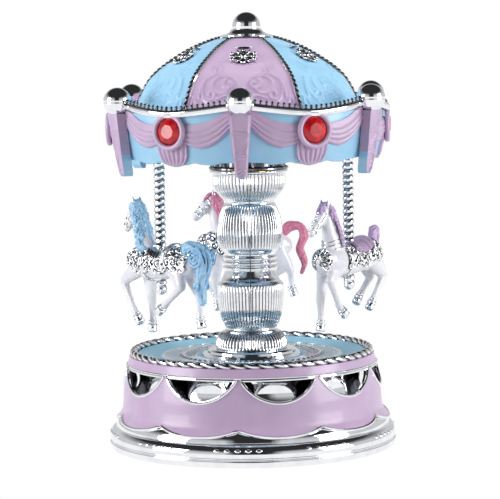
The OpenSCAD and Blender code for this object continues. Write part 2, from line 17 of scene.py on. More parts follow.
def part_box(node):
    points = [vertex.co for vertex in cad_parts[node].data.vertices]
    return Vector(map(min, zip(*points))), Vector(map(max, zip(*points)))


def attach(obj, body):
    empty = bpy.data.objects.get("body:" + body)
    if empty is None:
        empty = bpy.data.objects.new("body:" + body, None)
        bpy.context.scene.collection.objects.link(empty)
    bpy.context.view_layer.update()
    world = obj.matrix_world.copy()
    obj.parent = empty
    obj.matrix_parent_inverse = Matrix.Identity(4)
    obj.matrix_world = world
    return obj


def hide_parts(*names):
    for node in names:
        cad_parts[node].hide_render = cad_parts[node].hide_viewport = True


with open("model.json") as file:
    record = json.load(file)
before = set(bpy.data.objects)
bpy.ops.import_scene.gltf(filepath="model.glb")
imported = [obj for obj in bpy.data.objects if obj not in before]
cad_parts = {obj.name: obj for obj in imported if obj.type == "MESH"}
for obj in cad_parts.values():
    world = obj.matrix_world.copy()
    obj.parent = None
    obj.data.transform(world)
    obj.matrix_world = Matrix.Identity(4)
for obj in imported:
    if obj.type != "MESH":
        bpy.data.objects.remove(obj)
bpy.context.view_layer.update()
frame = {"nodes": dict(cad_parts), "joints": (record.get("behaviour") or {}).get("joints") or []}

# %% [markdown]
# Shapes below are drawn in millimetres, as a maker would measure them, and turned into metres once,
# when a piece is finished. A place round the object is given as an azimuth from the front, a
# radius and a height. The driving sizes are read from the CAD nodes' boxes and joints, so the looks
# follow the design if it changes.

# %% Millimetres, azimuths and the driving sizes
MM = 0.001


def place(azimuth, radius, height):
    """The point at an azimuth in degrees from the front, a radius and a height."""
    turn = math.radians(azimuth)
    return Vector((radius * math.sin(turn), -radius * math.cos(turn), height))


def reach(node):
    """Largest radius, lowest and highest height of a round CAD node, in millimetres."""
    low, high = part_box(node)
    return max(high.x, high.y, -low.x, -low.y) / MM, low.z / MM, high.z / MM


FOOT_R, _, FOOT_TOP = reach("foot_ring")
ROPE_R, ROPE_LOW, ROPE_TOP = reach("rope_rim")
COLUMN_R, COLUMN_LOW, COLUMN_TOP = reach("column_left_shell")
COLLAR_R, COLLAR_LOW, COLLAR_TOP = reach("column_top_collar")
DECK_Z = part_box("deck_lace")[0].z / MM
VALANCE_R, _, VALANCE_TOP = reach("canopy_valance")
DOME_TOP = reach("canopy_dome")[2]
BAND_R = reach("rim_band")[0]
BALL_LOW, BALL_TOP = reach("ball_finials")[1:]
BALL_SIZE = (BALL_TOP - BALL_LOW) / 2
BALL_Z = (BALL_TOP + BALL_LOW) / 2
FINIAL_R, _, FINIAL_TOP = reach("finial_ball")
GEM_Z = sum(reach("gems")[1:]) / 2
TASSEL_LOW = reach("tassels")[1]
CEILING_Z = reach("canopy_ceiling")[1]
WINDOWS = 10
WINDOW_TURN = 12
WINDOW_R = FOOT_R - 6.2
WINDOW_HALF = 14.19
PANELS = 6
CANOPY_TURN = -2.9
print(f"foot {2 * FOOT_R:.1f} mm across, {FINIAL_TOP:.1f} mm high")

# %% [markdown]
# The camera stands 0.9 m in front of the box, a little above its middle, and looks slightly down, the
# way such an ornament is shown in a shop. A long lens keeps the uprights nearly parallel.

# %% Camera
CAMERA_PLACE = Vector((0.0, -0.9013, 0.1593))
CAMERA_DOWN = math.radians(5.37)
CAMERA_ROLL = math.radians(-0.947)
forward = Vector((0, math.cos(CAMERA_DOWN), -math.sin(CAMERA_DOWN)))
right = Vector((1, 0, 0))
above = right.cross(forward)
side = right * math.cos(CAMERA_ROLL) + above * math.sin(CAMERA_ROLL)
above = above * math.cos(CAMERA_ROLL) - right * math.sin(CAMERA_ROLL)
lens = bpy.data.cameras.new("camera")
lens.lens = 170.4
lens.sensor_width = 36
lens.clip_start = 0.02
camera = bpy.data.objects.new("camera", lens)
camera.matrix_world = Matrix.Translation(CAMERA_PLACE) @ Matrix((side, above,
                                                                 -forward)).transposed().to_4x4()
bpy.context.scene.collection.objects.link(camera)
bpy.context.scene.camera = camera
print("camera", [round(c, 3) for c in camera.location])

# %% [markdown]
# Plated plastic shows only what it mirrors, so the light decides how it looks. The room is pale and
# has two tall soft boxes left and right. The side towards the viewer and the ceiling are dark: they
# give chrome its dark middle between two bright lobes. The floor is plain and nearly white.

# %% Floor, room and soft boxes
def soft_box(name, place_m, aim_m, width, height, watts, mirrored=True):
    """An area light that faces a point and doesn't show itself to the camera."""
    light = bpy.data.lights.new(name, "AREA")
    light.shape = "RECTANGLE"
    light.size = width
    light.size_y = height
    light.energy = watts
    lamp = bpy.data.objects.new(name, light)
    lamp.location = place_m
    lamp.rotation_euler = (Vector(aim_m) - Vector(place_m)).to_track_quat("-Z", "Y").to_euler()
    lamp.visible_camera = False
    lamp.visible_glossy = mirrored
    bpy.context.scene.collection.objects.link(lamp)
    return lamp


AIM = (0, 0, 0.09)
soft_box("soft_box_left", (-0.80, -0.30, 0.22), AIM, 0.42, 0.60, 5.9)
soft_box("soft_box_right", (0.80, -0.30, 0.22), AIM, 0.42, 0.60, 5.9)
soft_box("soft_box_above", (0, 0.05, 0.95), AIM, 0.7, 0.5, 6.8, False)

floor_bm = bmesh.new()
bmesh.ops.create_grid(floor_bm, x_segments=1, y_segments=1, size=6)
floor_mesh = bpy.data.meshes.new("floor")
floor_bm.to_mesh(floor_mesh)
floor_bm.free()
floor = bpy.data.objects.new("floor", floor_mesh)
bpy.context.scene.collection.objects.link(floor)
floor_paint = bpy.data.materials.new("floor_paint")
floor_paint.use_nodes = True
floor_tree = floor_paint.node_tree
floor_shader = floor_tree.nodes["Principled BSDF"]
floor_shader.inputs["Base Color"].default_value = (0.5, 0.5, 0.51, 1)
floor_shader.inputs["Roughness"].default_value = 0.5
floor_white = floor_tree.nodes.new("ShaderNodeEmission")
floor_mix = floor_tree.nodes.new("ShaderNodeMixShader")
floor_rays = floor_tree.nodes.new("ShaderNodeLightPath")
floor_seen = floor_tree.nodes.new("ShaderNodeMath")
floor_seen.operation = "MAXIMUM"
floor_tree.links.new(floor_rays.outputs["Is Camera Ray"], floor_seen.inputs[0])
floor_tree.links.new(floor_rays.outputs["Is Glossy Ray"], floor_seen.inputs[1])
floor_tree.links.new(floor_seen.outputs["Value"], floor_mix.inputs["Fac"])
floor_tree.links.new(floor_shader.outputs["BSDF"], floor_mix.inputs[1])
floor_tree.links.new(floor_white.outputs["Emission"], floor_mix.inputs[2])
floor_tree.links.new(floor_mix.outputs["Shader"], floor_tree.nodes["Material Output"].inputs["Surface"])
floor_mesh.materials.append(floor_paint)

world = bpy.data.worlds.new("studio")
bpy.context.scene.world = world
world.use_nodes = True
room = world.node_tree
room.nodes.clear()
room_out = room.nodes.new("ShaderNodeOutputWorld")
room_light = room.nodes.new("ShaderNodeBackground")
plain_white = room.nodes.new("ShaderNodeBackground")
plain_white.inputs["Color"].default_value = (1, 1, 1, 1)
room_mix = room.nodes.new("ShaderNodeMixShader")
seen_directly = room.nodes.new("ShaderNodeLightPath")
direction = room.nodes.new("ShaderNodeTexCoord")
split = room.nodes.new("ShaderNodeSeparateXYZ")
room.links.new(direction.outputs["Generated"], split.inputs["Vector"])


def room_step(source, start, end):
    """0 before start and 1 after end, of one number of the direction looked in."""
    step = room.nodes.new("ShaderNodeMapRange")
    step.inputs["From Min"].default_value = start
    step.inputs["From Max"].default_value = end
    room.links.new(source, step.inputs["Value"])
    return step.outputs["Result"]


def room_math(operation, first, second):
    """One sum of two values in the room's node tree; second may be a plain number."""
    node = room.nodes.new("ShaderNodeMath")
    node.operation = operation
    room.links.new(first, node.inputs[0])
    if isinstance(second, float):
        node.inputs[1].default_value = second
    else:
        room.links.new(second, node.inputs[1])
    return node.outputs["Value"]


sideways = room_math("ABSOLUTE", split.outputs["X"], 0.0)
walls = room_math("MAXIMUM", room_step(sideways, 0.24, 0.40), room_step(split.outputs["Y"], -0.1, 0.3))
below_ceiling = room_step(split.outputs["Z"], 0.62, 0.30)
brightness = room_math("MULTIPLY", room_math("MULTIPLY", walls, below_ceiling), 0.62)
brightness = room_math("ADD", brightness, 0.03)
room.links.new(brightness, room_light.inputs["Strength"])
room_light.inputs["Color"].default_value = (0.97, 0.98, 1.0, 1)
room.links.new(seen_directly.outputs["Is Camera Ray"], room_mix.inputs["Fac"])
room.links.new(room_light.outputs["Background"], room_mix.inputs[1])
room.links.new(plain_white.outputs["Background"], room_mix.inputs[2])
room.links.new(room_mix.outputs["Shader"], room_out.inputs["Surface"])
bpy.context.scene.view_settings.view_transform = "Standard"

# %% [markdown]
# Every finish is a small node tree on one Principled shader. Real plating and paint are never quite
# even: the colour is mottled a little, the gloss varies from place to place, and the moulding under
# it leaves a faint waviness. A noise pattern in Object coordinates drives all three, so the pattern
# stays on the piece. What is the same all over a surface is set on the shader's own socket.

# %% A finish from noise: mottled colour, uneven gloss and a faint waviness
def finish(name, light, dark, gloss, metal=0.0, grain=260.0, wave=0.04, wave_size=900.0, coat=0.0):
    """light, dark: the two colours of the mottling; gloss: the lowest and the highest roughness."""
    material = bpy.data.materials.new(name)
    material.use_nodes = True
    tree = material.node_tree
    shader = tree.nodes["Principled BSDF"]
    shader.inputs["Metallic"].default_value = metal
    shader.inputs["Coat Weight"].default_value = coat
    shader.inputs["Coat Roughness"].default_value = 0.08
    where = tree.nodes.new("ShaderNodeTexCoord")
    mottle = tree.nodes.new("ShaderNodeTexNoise")
    mottle.inputs["Scale"].default_value = grain
    mottle.inputs["Detail"].default_value = 4
    tree.links.new(where.outputs["Object"], mottle.inputs["Vector"])
    colours = tree.nodes.new("ShaderNodeValToRGB")
    colours.name = "colours"
    colours.color_ramp.elements[0].position = 0.35
    colours.color_ramp.elements[0].color = (*dark, 1)
    colours.color_ramp.elements[1].position = 0.62
    colours.color_ramp.elements[1].color = (*light, 1)
    tree.links.new(mottle.outputs["Fac"], colours.inputs["Fac"])
    tree.links.new(colours.outputs["Color"], shader.inputs["Base Color"])
    sheen = tree.nodes.new("ShaderNodeMapRange")
    sheen.inputs["To Min"].default_value = gloss[0]
    sheen.inputs["To Max"].default_value = gloss[1]
    tree.links.new(mottle.outputs["Fac"], sheen.inputs["Value"])
    tree.links.new(sheen.outputs["Result"], shader.inputs["Roughness"])
    ripple = tree.nodes.new("ShaderNodeTexNoise")
    ripple.inputs["Scale"].default_value = wave_size
    ripple.inputs["Detail"].default_value = 2
    tree.links.new(where.outputs["Object"], ripple.inputs["Vector"])
    bump = tree.nodes.new("ShaderNodeBump")
    bump.inputs["Strength"].default_value = wave
    bump.inputs["Distance"].default_value = 0.0003
    tree.links.new(ripple.outputs["Fac"], bump.inputs["Height"])
    tree.links.new(bump.outputs["Normal"], shader.inputs["Normal"])
    return material


chrome = finish("plated_chrome", (0.90, 0.91, 0.93), (0.82, 0.83, 0.86), (0.03, 0.09), 1.0, 180, 0.05, 500)
# near-black plating that stands in for shade: painted shade on the drum's inside, the collar, the band's
# teeth, the seam beads and behind the flowers
shade_painted_chrome = finish("shaded_chrome", (0.24, 0.24, 0.26), (0.08, 0.08, 0.09), (0.08, 0.2), 1.0, 400, 0.06)
lilac = finish("lilac_paint", (0.56, 0.415, 0.60), (0.52, 0.38, 0.56), (0.3, 0.42), 0.0, 120, 0.04, 700,
               0.25)
sky = finish("sky_blue_paint", (0.36, 0.64, 0.86), (0.32, 0.60, 0.82), (0.3, 0.42), 0.0, 120, 0.04, 700,
             0.25)
# a lighter copy of the sky blue: painted light that offsets the canopy's shade on the deck
blue_with_painted_light = finish("deck_paint_with_painted_light", (0.46, 0.82, 1.0), (0.42, 0.78, 0.98), (0.4, 0.5), 0.0, 120, 0.04,
                   700, 0.1)
print("finishes:", [m.name for m in (chrome, shade_painted_chrome, lilac, sky, blue_with_painted_light)])

# %% [markdown]
# The rope rim, the column's grooves, the poles and the horses' lacework get painted shade in their
# hollows: the plating's colour turns near black there. How hollow each place is gets stored on the
# mesh as an attribute when the relief is made, and this finish reads it.

# %% Plating with painted shade in its hollows
def painted_hollow_shade_finish(name):
    """Chrome painted near black, as shade, where the mesh's attribute says it is hollow."""
    material = finish(name, (0.90, 0.91, 0.93), (0.80, 0.81, 0.84), (0.06, 0.14), 1.0, 300, 0.08, 900)
    tree = material.node_tree
    shader = tree.nodes["Principled BSDF"]
    stored = tree.nodes.new("ShaderNodeAttribute")
    stored.attribute_name = "hollow"
    blend = tree.nodes.new("ShaderNodeMix")
    blend.data_type = "RGBA"
    # the near-black colour of the painted shade in the hollows
    blend.inputs[7].default_value = (0.02, 0.02, 0.025, 1)
    tree.links.new(stored.outputs["Fac"], blend.inputs[0])
    tree.links.new(tree.nodes["colours"].outputs["Color"], blend.inputs[6])
    tree.links.new(blend.outputs[2], shader.inputs["Base Color"])
    return material


# chrome with painted shade in its hollows, for the rope, the column, the poles and the lacework
chrome_with_painted_hollow_shade = painted_hollow_shade_finish("chrome_painted_hollow_shade")

# %% [markdown]
# Most of this object is turned: a section is spun round the axis, and then its points are moved by
# a rule of azimuth, radius and height, which gives scallops, flutes, waves and ropes. That keeps one
# closed skin with even faces, where cutting with booleans would leave ragged edges.

# %% Tools for turned work
def turned(section, steps=240, closed=True, rule=None, bm=None):
    """A closed skin round the axis from (radius, height) points; rule moves the points afterwards."""
    bm = bm or bmesh.new()
    rows = section + [section[0]] if closed else section
    grid = bmesh.ops.create_grid(bm, x_segments=steps, y_segments=len(rows) - 1, size=0.5)["verts"]
    for point in grid:
        radius, height = rows[round((point.co.y + 0.5) * (len(rows) - 1))]
        point.co = place(360 * (point.co.x + 0.5), radius, height)
    bmesh.ops.remove_doubles(bm, verts=bm.verts, dist=1e-4)
    bmesh.ops.dissolve_degenerate(bm, edges=bm.edges, dist=1e-5)
    if rule:
        reshape(bm, rule)
    return bm


def reshape(bm, rule):
    """Moves every point by rule(azimuth, radius, height), which gives the new radius and height."""
    for point in bm.verts:
        azimuth = math.degrees(math.atan2(point.co.x, -point.co.y))
        radius, height = rule(azimuth, math.hypot(point.co.x, point.co.y), point.co.z)
        point.co = place(azimuth, radius, height)


def store_painted_hollow_shade(bm, depth):
    """Stores depth(point), from 0 to 1, as the attribute that sets how much painted shade the plating gets.
    """
    layer = bm.verts.layers.float.new("hollow")
    for point in bm.verts:
        point[layer] = 0.95 * min(max(depth(point.co), 0.0), 1.0)


def smooth_line(points, parts=6):
    """A Catmull-Rom curve through a list of points of any length, with its ends kept."""
    rows = [np.array(p, float) for p in points]
    rows = [2 * rows[0] - rows[1]] + rows + [2 * rows[-1] - rows[-2]]
    line = []
    for a, b, c, d in zip(rows, rows[1:], rows[2:], rows[3:]):
        for k in range(parts):
            t = k / parts
            line.append(0.5 * (2 * b + (c - a) * t + (2 * a - 5 * b + 4 * c - d) * t * t
                               + (3 * b - a - 3 * c + d) * t ** 3))
    return line + [rows[-2]]


def along(points, value):
    """Reads a curve given as sorted (x, y) points at x = value, straight between the points."""
    return float(np.interp(value, [p[0] for p in points], [p[1] for p in points]))


def ease(low, high, value):
    """0 below low, 1 above high, and smooth between."""
    t = min(max((value - low) / (high - low), 0.0), 1.0)
    return t * t * (3 - 2 * t)


def offset_from(azimuth, first, count):
    """Signed degrees from the nearest of count places round the axis, the first at azimuth first."""
    step = 360 / count
    return (azimuth - first + step / 2) % step - step / 2


def joined(bm, part):
    """Adds a small shape to a larger one."""
    mesh = bpy.data.meshes.new("part")
    part.to_mesh(mesh)
    part.free()
    bm.from_mesh(mesh)
    bpy.data.meshes.remove(mesh)
    return bm


def swept(path, size, sides=8, closed=False, bm=None):
    """A tube along a path of points; size is its radius, or a list with one radius a point."""
    tube = bmesh.new()
    path = [Vector(p) for p in path]
    sizes = size if isinstance(size, list) else [size] * len(path)
    rings = []
    for k, (point, radius) in enumerate(zip(path, sizes)):
        before = path[k - 1] if k or closed else path[0]
        after = path[(k + 1) % len(path)] if k + 1 < len(path) or closed else path[-1]
        turn = (after - before).to_track_quat("Z", "Y").to_matrix().to_4x4()
        ring = bmesh.ops.create_circle(tube, segments=sides, radius=radius,
                                       matrix=Matrix.Translation(point) @ turn)["verts"]
        rings.append(ring)
    pairs = list(zip(rings, rings[1:])) + ([(rings[-1], rings[0])] if closed else [])
    for one, other in pairs:
        start = min(range(sides), key=lambda s: (other[s].co - one[0].co).length)
        for s in range(sides):
            tube.faces.new((one[s], one[(s + 1) % sides], other[(start + s + 1) % sides],
                            other[(start + s) % sides]))
    if not closed:
        tube.faces.new(rings[0])
        tube.faces.new(rings[-1])
    return joined(bm, tube) if bm else tube


def new_piece(name, bm, body, finishes, nodes=(), sharp=35.0):
    """Finishes a shape drawn in millimetres: merged, normals outwards, in metres, riding on its body."""
    bmesh.ops.remove_doubles(bm, verts=bm.verts, dist=1e-4)
    bmesh.ops.recalc_face_normals(bm, faces=bm.faces)
    bmesh.ops.scale(bm, vec=(MM, MM, MM), verts=bm.verts)
    mesh = bpy.data.meshes.new(name)
    bm.to_mesh(mesh)
    bm.free()
    mesh.shade_smooth()
    mesh.set_sharp_from_angle(angle=math.radians(sharp))
    piece = bpy.data.objects.new(name, mesh)
    bpy.context.scene.collection.objects.link(piece)
    for coat in finishes:
        mesh.materials.append(coat)
    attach(piece, body)
    if nodes:
        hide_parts(*nodes)
    print(f"{name}: {len(mesh.polygons)} faces, {piece.dimensions.x / MM:.1f} x "
          f"{piece.dimensions.y / MM:.1f} x {piece.dimensions.z / MM:.1f} mm")
    return piece


# %% [markdown]
# The foot is one plated moulding: a flat flange, a round bead ring above it and a flare that dips
# under the drum. It is turned from one section, with fine grooves between its members.

# %% Plated foot
foot_section = [
    (FOOT_R - 8.4, 0), (FOOT_R - 0.7, 0), (FOOT_R - 0.15, 0.5), (FOOT_R, 1.6), (FOOT_R - 0.1, 2.3),
    (FOOT_R - 0.5, 2.65), (FOOT_R - 1.1, 2.75), (FOOT_R - 1.1, 3.05), (FOOT_R - 0.55, 3.2),
    (FOOT_R - 0.2, 3.6), (FOOT_R - 0.02, 4.3), (FOOT_R, 5.0), (FOOT_R - 0.15, 5.8), (FOOT_R - 0.5, 6.6),
    (FOOT_R - 1.05, 7.3), (FOOT_R - 1.7, 7.85), (FOOT_R - 2.4, 8.15), (FOOT_R - 2.9, 8.2),
    (FOOT_R - 2.95, 8.55), (FOOT_R - 2.55, 8.75), (FOOT_R - 2.6, 9.3), (FOOT_R - 2.85, 10.1),
    (FOOT_R - 3.3, 11.0), (FOOT_R - 3.9, 11.8), (FOOT_R - 4.6, 12.4), (FOOT_R - 8.4, 12.4)]
new_piece("foot_plated_ring", turned(foot_section, 288), "base", [chrome], ["foot_ring"])

# %% [markdown]
# On the bead ring sit groups of five oblong beads, one group under each upright between two windows,
# with a thin double bar between the groups. Each bead is a stretched ball of eighty faces, half sunk
# in the ring, because it is repeated all the way round.

# %% Beads and bars on the foot
def oblong(bm, at, along_dir, out_dir, half_length, half_width, half_rise, level=2):
    """A stretched ball at a point: its length lies along along_dir and it rises along out_dir."""
    out = Vector(out_dir).normalized()
    run = Vector(along_dir).normalized()
    across = out.cross(run).normalized()
    turn = Matrix((run, across, out)).transposed().to_4x4()
    size = Matrix.Diagonal((half_length, half_width, half_rise, 1))
    bmesh.ops.create_icosphere(bm, subdivisions=level, radius=1, matrix=Matrix.Translation(at) @ turn @ size)


def round_the_foot(azimuth):
    """The unit vectors along the rim and out of it at an azimuth."""
    return place(azimuth + 90, 1, 0), place(azimuth, 1, 0.35)


bead_bm = bmesh.new()
for window in range(WINDOWS):
    cusp = WINDOW_TURN - 18 + window * 360 / WINDOWS
    for k in range(-2, 3):
        azimuth = cusp + 4.1 * k
        rim, out = round_the_foot(azimuth)
        oblong(bead_bm, place(azimuth, FOOT_R - 0.75, 6.1), rim, out, 1.45, 0.85, 0.7)
    for height in (5.2, 6.5):
        arc = [place(cusp + 11.5 + s * 1.3, FOOT_R - 0.30 - max(0, height - 5.2) * 0.42,
                     height) for s in range(11)]
        swept(arc, 0.28, 6, bm=bead_bm)
new_piece("foot_bead_groups", bead_bm, "base", [chrome])

# %% [markdown]
# The drum is painted lilac. Its lower edge hangs in shallow scallops over the flare of the foot, and
# its ten windows are half-moons: straight above, round below. Instead of cutting windows, the wall's
# upper edge is lowered along each arc and a separate collar closes it above: the skin stays even.
# The wall is left unpainted inside and round the windows' edges, and its plating there is darkened as painted
# shade, so the liner doesn't mirror paint.

# %% Outline of the drum and its windows
SCALLOP_HIGH = FOOT_TOP + 0.7
SCALLOP_LOW = FOOT_TOP - 1.9
WINDOW_TOP = 31.2
WINDOW_ARC_R = 16.0
WINDOW_ARC_Z = 38.6
FOLD_Z = 16.0
drum_outline = [
    (SCALLOP_LOW - 0.2, FOOT_R - 2.55), (11.4, FOOT_R - 3.1), (SCALLOP_HIGH, FOOT_R - 4.5),
    (14.5, FOOT_R - 5.1),
    (18, FOOT_R - 5.5), (22, FOOT_R - 5.7), (28, FOOT_R - 6.4), (WINDOW_TOP, FOOT_R - 7.1),
    (33.2, FOOT_R - 7.75),
    (35, FOOT_R - 8.1)]


def drum_radius(height):
    """Outer radius of the drum at a height."""
    return along(drum_outline, height)


def scallop(azimuth):
    """Height of the drum's lower edge."""
    reach_of = abs(offset_from(azimuth, WINDOW_TURN, WINDOWS)) / 18
    return SCALLOP_LOW + (SCALLOP_HIGH - SCALLOP_LOW) * reach_of ** 2.2


def window_edge(azimuth):
    """Height of the wall under a window; WINDOW_TOP between two windows."""
    across = WINDOW_R * math.sin(math.radians(offset_from(azimuth, WINDOW_TURN, WINDOWS)))
    if abs(across) >= WINDOW_ARC_R:
        return WINDOW_TOP
    return min(WINDOW_TOP, WINDOW_ARC_Z - math.sqrt(WINDOW_ARC_R ** 2 - across ** 2))


def drum_rule(azimuth, radius, height):
    """Bends the wall's lower edge into scallops and its upper edge round the windows."""
    depth = drum_radius(height) - radius
    if height < FOLD_Z:
        share = (height - SCALLOP_LOW) / (FOLD_Z - SCALLOP_LOW)
        height = scallop(azimuth) + (FOLD_Z - scallop(azimuth)) * share
    else:
        share = (height - FOLD_Z) / (WINDOW_TOP - FOLD_Z)
        height = FOLD_Z + (window_edge(azimuth) - FOLD_Z) * share
    return drum_radius(height) - depth, height


WALL_THICK = 1.5
levels = [SCALLOP_LOW + (FOLD_Z - SCALLOP_LOW) * k / 5 for k in range(5)]
levels += [FOLD_Z + (WINDOW_TOP - FOLD_Z) * k / 7 for k in range(8)]
wall = [(drum_radius(z), z) for z in levels] + [(drum_radius(z) - WALL_THICK, z) for z in reversed(levels)]
wall_bm = turned(wall, 720, rule=drum_rule)
LINER_R, LINER_LOW, LINER_TOP = reach("swag_liner")
bmesh.ops.recalc_face_normals(wall_bm, faces=wall_bm.faces)
# inward faces, and those round the windows, get painted shade
for face in wall_bm.faces:
    middle = face.calc_center_median()
    outward = (face.normal.x * middle.x + face.normal.y * middle.y) / math.hypot(middle.x, middle.y)
    if outward < (0.35 if LINER_LOW < middle.z < LINER_TOP else 0):
        face.material_index = 1
new_piece("drum_painted_wall", wall_bm, "base", [lilac, shade_painted_chrome], ["drum_shell"])
collar = [(drum_radius(z), z) for z in (WINDOW_TOP, 32.2, 33.2, 34.2, 35)]
collar += [(drum_radius(35) - 1.8, 35), (drum_radius(WINDOW_TOP) - 2.4, WINDOW_TOP)]
new_piece("drum_painted_collar", turned(collar, 240), "base", [lilac])

# %% [markdown]
# A raised plated line follows the scalloped edge, another runs above the windows, and each window
# has a plated rim of its own. They are tubes swept along the very curves that shaped the wall.

# %% Plated lines of the drum
line_bm = bmesh.new()
swept([place(a, drum_radius(scallop(a)) + 0.05, scallop(a)) for a in np.arange(0, 360, 1.5)], 0.5, 6, True,
      line_bm)
swept([place(a, drum_radius(WINDOW_TOP + 0.5) + 0.05, WINDOW_TOP + 0.5) for a in range(0, 360, 3)], 0.35,
      6, True, line_bm)
half_width = math.degrees(math.asin(WINDOW_HALF / WINDOW_R))
for window in range(WINDOWS):
    middle = WINDOW_TURN + window * 360 / WINDOWS
    arc = [middle + half_width * math.sin(math.radians(t)) for t in range(-88, 89, 8)]
    rim = [place(a, drum_radius(window_edge(a)) + 0.05, window_edge(a)) for a in arc]
    rim += [place(middle + half_width * t / 10, drum_radius(WINDOW_TOP) - 0.1,
                  WINDOW_TOP - 0.1) for t in range(10, -11, -1)]
    swept(rim, 0.62, 8, True, line_bm)
new_piece("drum_plated_lines", line_bm, "base", [chrome], ["swag_trims"])

# %% [markdown]
# Behind the windows lies a plated liner. It is hollow-ground: concave from top to bottom, so that
# each window shows a bright patch in the middle and darkness at its two corners.

# %% Hollow liner behind the windows
hollow = [(LINER_R - 1.9 * math.sin(math.pi * k / 12),
           LINER_LOW + (LINER_TOP - LINER_LOW) * k / 12) for k in range(13)]
hollow += [(LINER_R - 3, LINER_TOP), (LINER_R - 3, LINER_LOW)]
new_piece("drum_hollow_liner", turned(hollow, 240), "base", [chrome], ["swag_liner"])

# %% [markdown]
# The drum ends in a plated rope. A round section is spun, then its radius swells and shrinks with
# both the angle round the section and the angle round the drum, which gives two twisted strands.

# %% Rope rim
ROPE_SIZE = (ROPE_TOP - ROPE_LOW) / 2
ROPE_LINE_R = ROPE_R - ROPE_SIZE
ROPE_LINE_Z = (ROPE_TOP + ROPE_LOW) / 2
ROPE_LOBES = 54


def rope_rule(azimuth, radius, height):
    """Twists two strands round the rope's own line."""
    out, up = radius - ROPE_LINE_R, height - ROPE_LINE_Z
    round_section = math.atan2(up, out)
    strand = abs(math.cos(round_section + math.radians(azimuth) * ROPE_LOBES / 2))
    size = ROPE_SIZE * (0.56 + 0.44 * strand ** 0.7)
    return ROPE_LINE_R + size * math.cos(round_section), ROPE_LINE_Z + size * math.sin(round_section)


rope_section = [(ROPE_LINE_R + ROPE_SIZE * math.cos(t), ROPE_LINE_Z + ROPE_SIZE * math.sin(t))
                for t in np.arange(0, 2 * math.pi - 0.01, 2 * math.pi / 20)]
rope_bm = turned(rope_section, ROPE_LOBES * 12, rule=rope_rule)
# painted shade in the grooves between the two strands
store_painted_hollow_shade(rope_bm, lambda p: 1 - ease(0.72, 0.88, math.hypot(
    math.hypot(p.x, p.y) - ROPE_LINE_R, p.z - ROPE_LINE_Z) / ROPE_SIZE))
new_piece("twisted_rope_rim", rope_bm, "base", [chrome_with_painted_hollow_shade], ["rope_rim"])

# %% [markdown]
# On the blue deck lies a plated lace ring: a flat ring with radial ribs and two raised circles. Its
# ribs are a wave in the height, strongest in the middle of the ring, and the low places between them
# carry the deck's blue.

# %% Lace ring on the deck
LACE_R = reach("deck_lace")[0]
LACE_HOLE = 19.2


def lace_rule(azimuth, radius, height):
    """Raises radial ribs and two circles on the upper side."""
    if height < DECK_Z + 0.4:
        return radius, height
    ribs = 0.28 * abs(math.cos(math.radians(azimuth * 30))) * ease(LACE_HOLE + 1, LACE_HOLE + 2, radius)
    ribs *= 1 - ease(LACE_R - 1.6, LACE_R - 1, radius)
    circles = 0.35 * math.exp(-((radius - LACE_R + 0.9) / 0.5) ** 2) + 0.35 * math.exp(-((radius
                                                                                          - 26.5) / 0.6) ** 2)
    return radius, height + ribs + circles


lace = [(LACE_HOLE, DECK_Z)] + [(LACE_HOLE + (LACE_R - LACE_HOLE) * k / 24,
                                 DECK_Z + 0.75) for k in range(25)]
lace += [(LACE_R, DECK_Z)]
lace_bm = turned(lace, 720, rule=lace_rule)
bmesh.ops.recalc_face_normals(lace_bm, faces=lace_bm.faces)
for face in lace_bm.faces:
    if face.normal.z > 0.3 and face.calc_center_median().z < DECK_Z + 0.9:
        face.material_index = 1
new_piece("deck_lace_ring", lace_bm, "base", [chrome, blue_with_painted_light], ["deck_lace"])

# %% [markdown]
# The column is moulded in two plated halves that meet in a seam at the front and the back. Its
# four bellied members are fluted with sixty reeds, and smooth members and three fine rings stand
# between them. The full column is turned and fluted first, then cut at the seam plane.

# %% Fluted column in two halves
REEDS = 60
FLUTED = [(37.2, 43.6), (45.6, 62.0), (75.2, 91.8), (94.2, 104.3)]
column_outline = [
    (13.6, 37), (13.9, 38.4), (13.4, 40.7), (11.9, 42.8), (9.9, 44.2), (9.9, 45.4), (10.9, 47.4), (11.8, 50),
    (12.4, 53), (12.7, 56.5), (12.7, 60.4), (12.4, 61.8), (11.4, 62.7), (11.2, 63.2), (10.5, 64.4),
    (10.0, 66),
    (9.8, 67.2), (10.35, 67.5), (10.4, 68.3), (9.8, 68.9), (10.35, 69.4), (10.4, 70.2), (9.8, 70.8),
    (10.35, 71.3), (10.4, 72.1), (9.8, 72.8), (10.1, 73.8), (11.4, 75.2), (12.2, 77.2), (12.5, 80),
    (12.4, 83.4), (12, 86.6), (11.1, 89.4), (10, 91.9), (9.7, 93), (10.2, 94), (11.5, 95.6), (13, 97.4),
    (13.8, 98.9), (14, 100.5), (14, 103.6), (14.3, 104.2), (15.05, 104.5), (15.05, COLUMN_TOP)]
column_line = smooth_line(column_outline, 3)
BORE_R = 7.7


def reed_rule(azimuth, radius, height):
    """Cuts the grooves between the reeds into the bellied members."""
    if radius < BORE_R + 0.3:
        return radius, height
    depth = max(ease(low, low + 1.4, height) * (1 - ease(high - 1.4, high, height)) for low, high in FLUTED)
    groove = 1 - abs(math.cos(math.radians(azimuth * REEDS / 2))) ** 0.7
    return radius - 0.55 * depth * groove, height


def reed_depth(point):
    """How deep in a groove between two reeds a point of the column lies."""
    azimuth = math.degrees(math.atan2(point.x, -point.y))
    depth = max(ease(low, low + 1.4, point.z) * (1 - ease(high - 1.4, high, point.z)) for low,
                high in FLUTED)
    return 0.9 * depth * ease(0.3, 0.75, 1 - abs(math.cos(math.radians(azimuth * REEDS / 2))) ** 0.7)


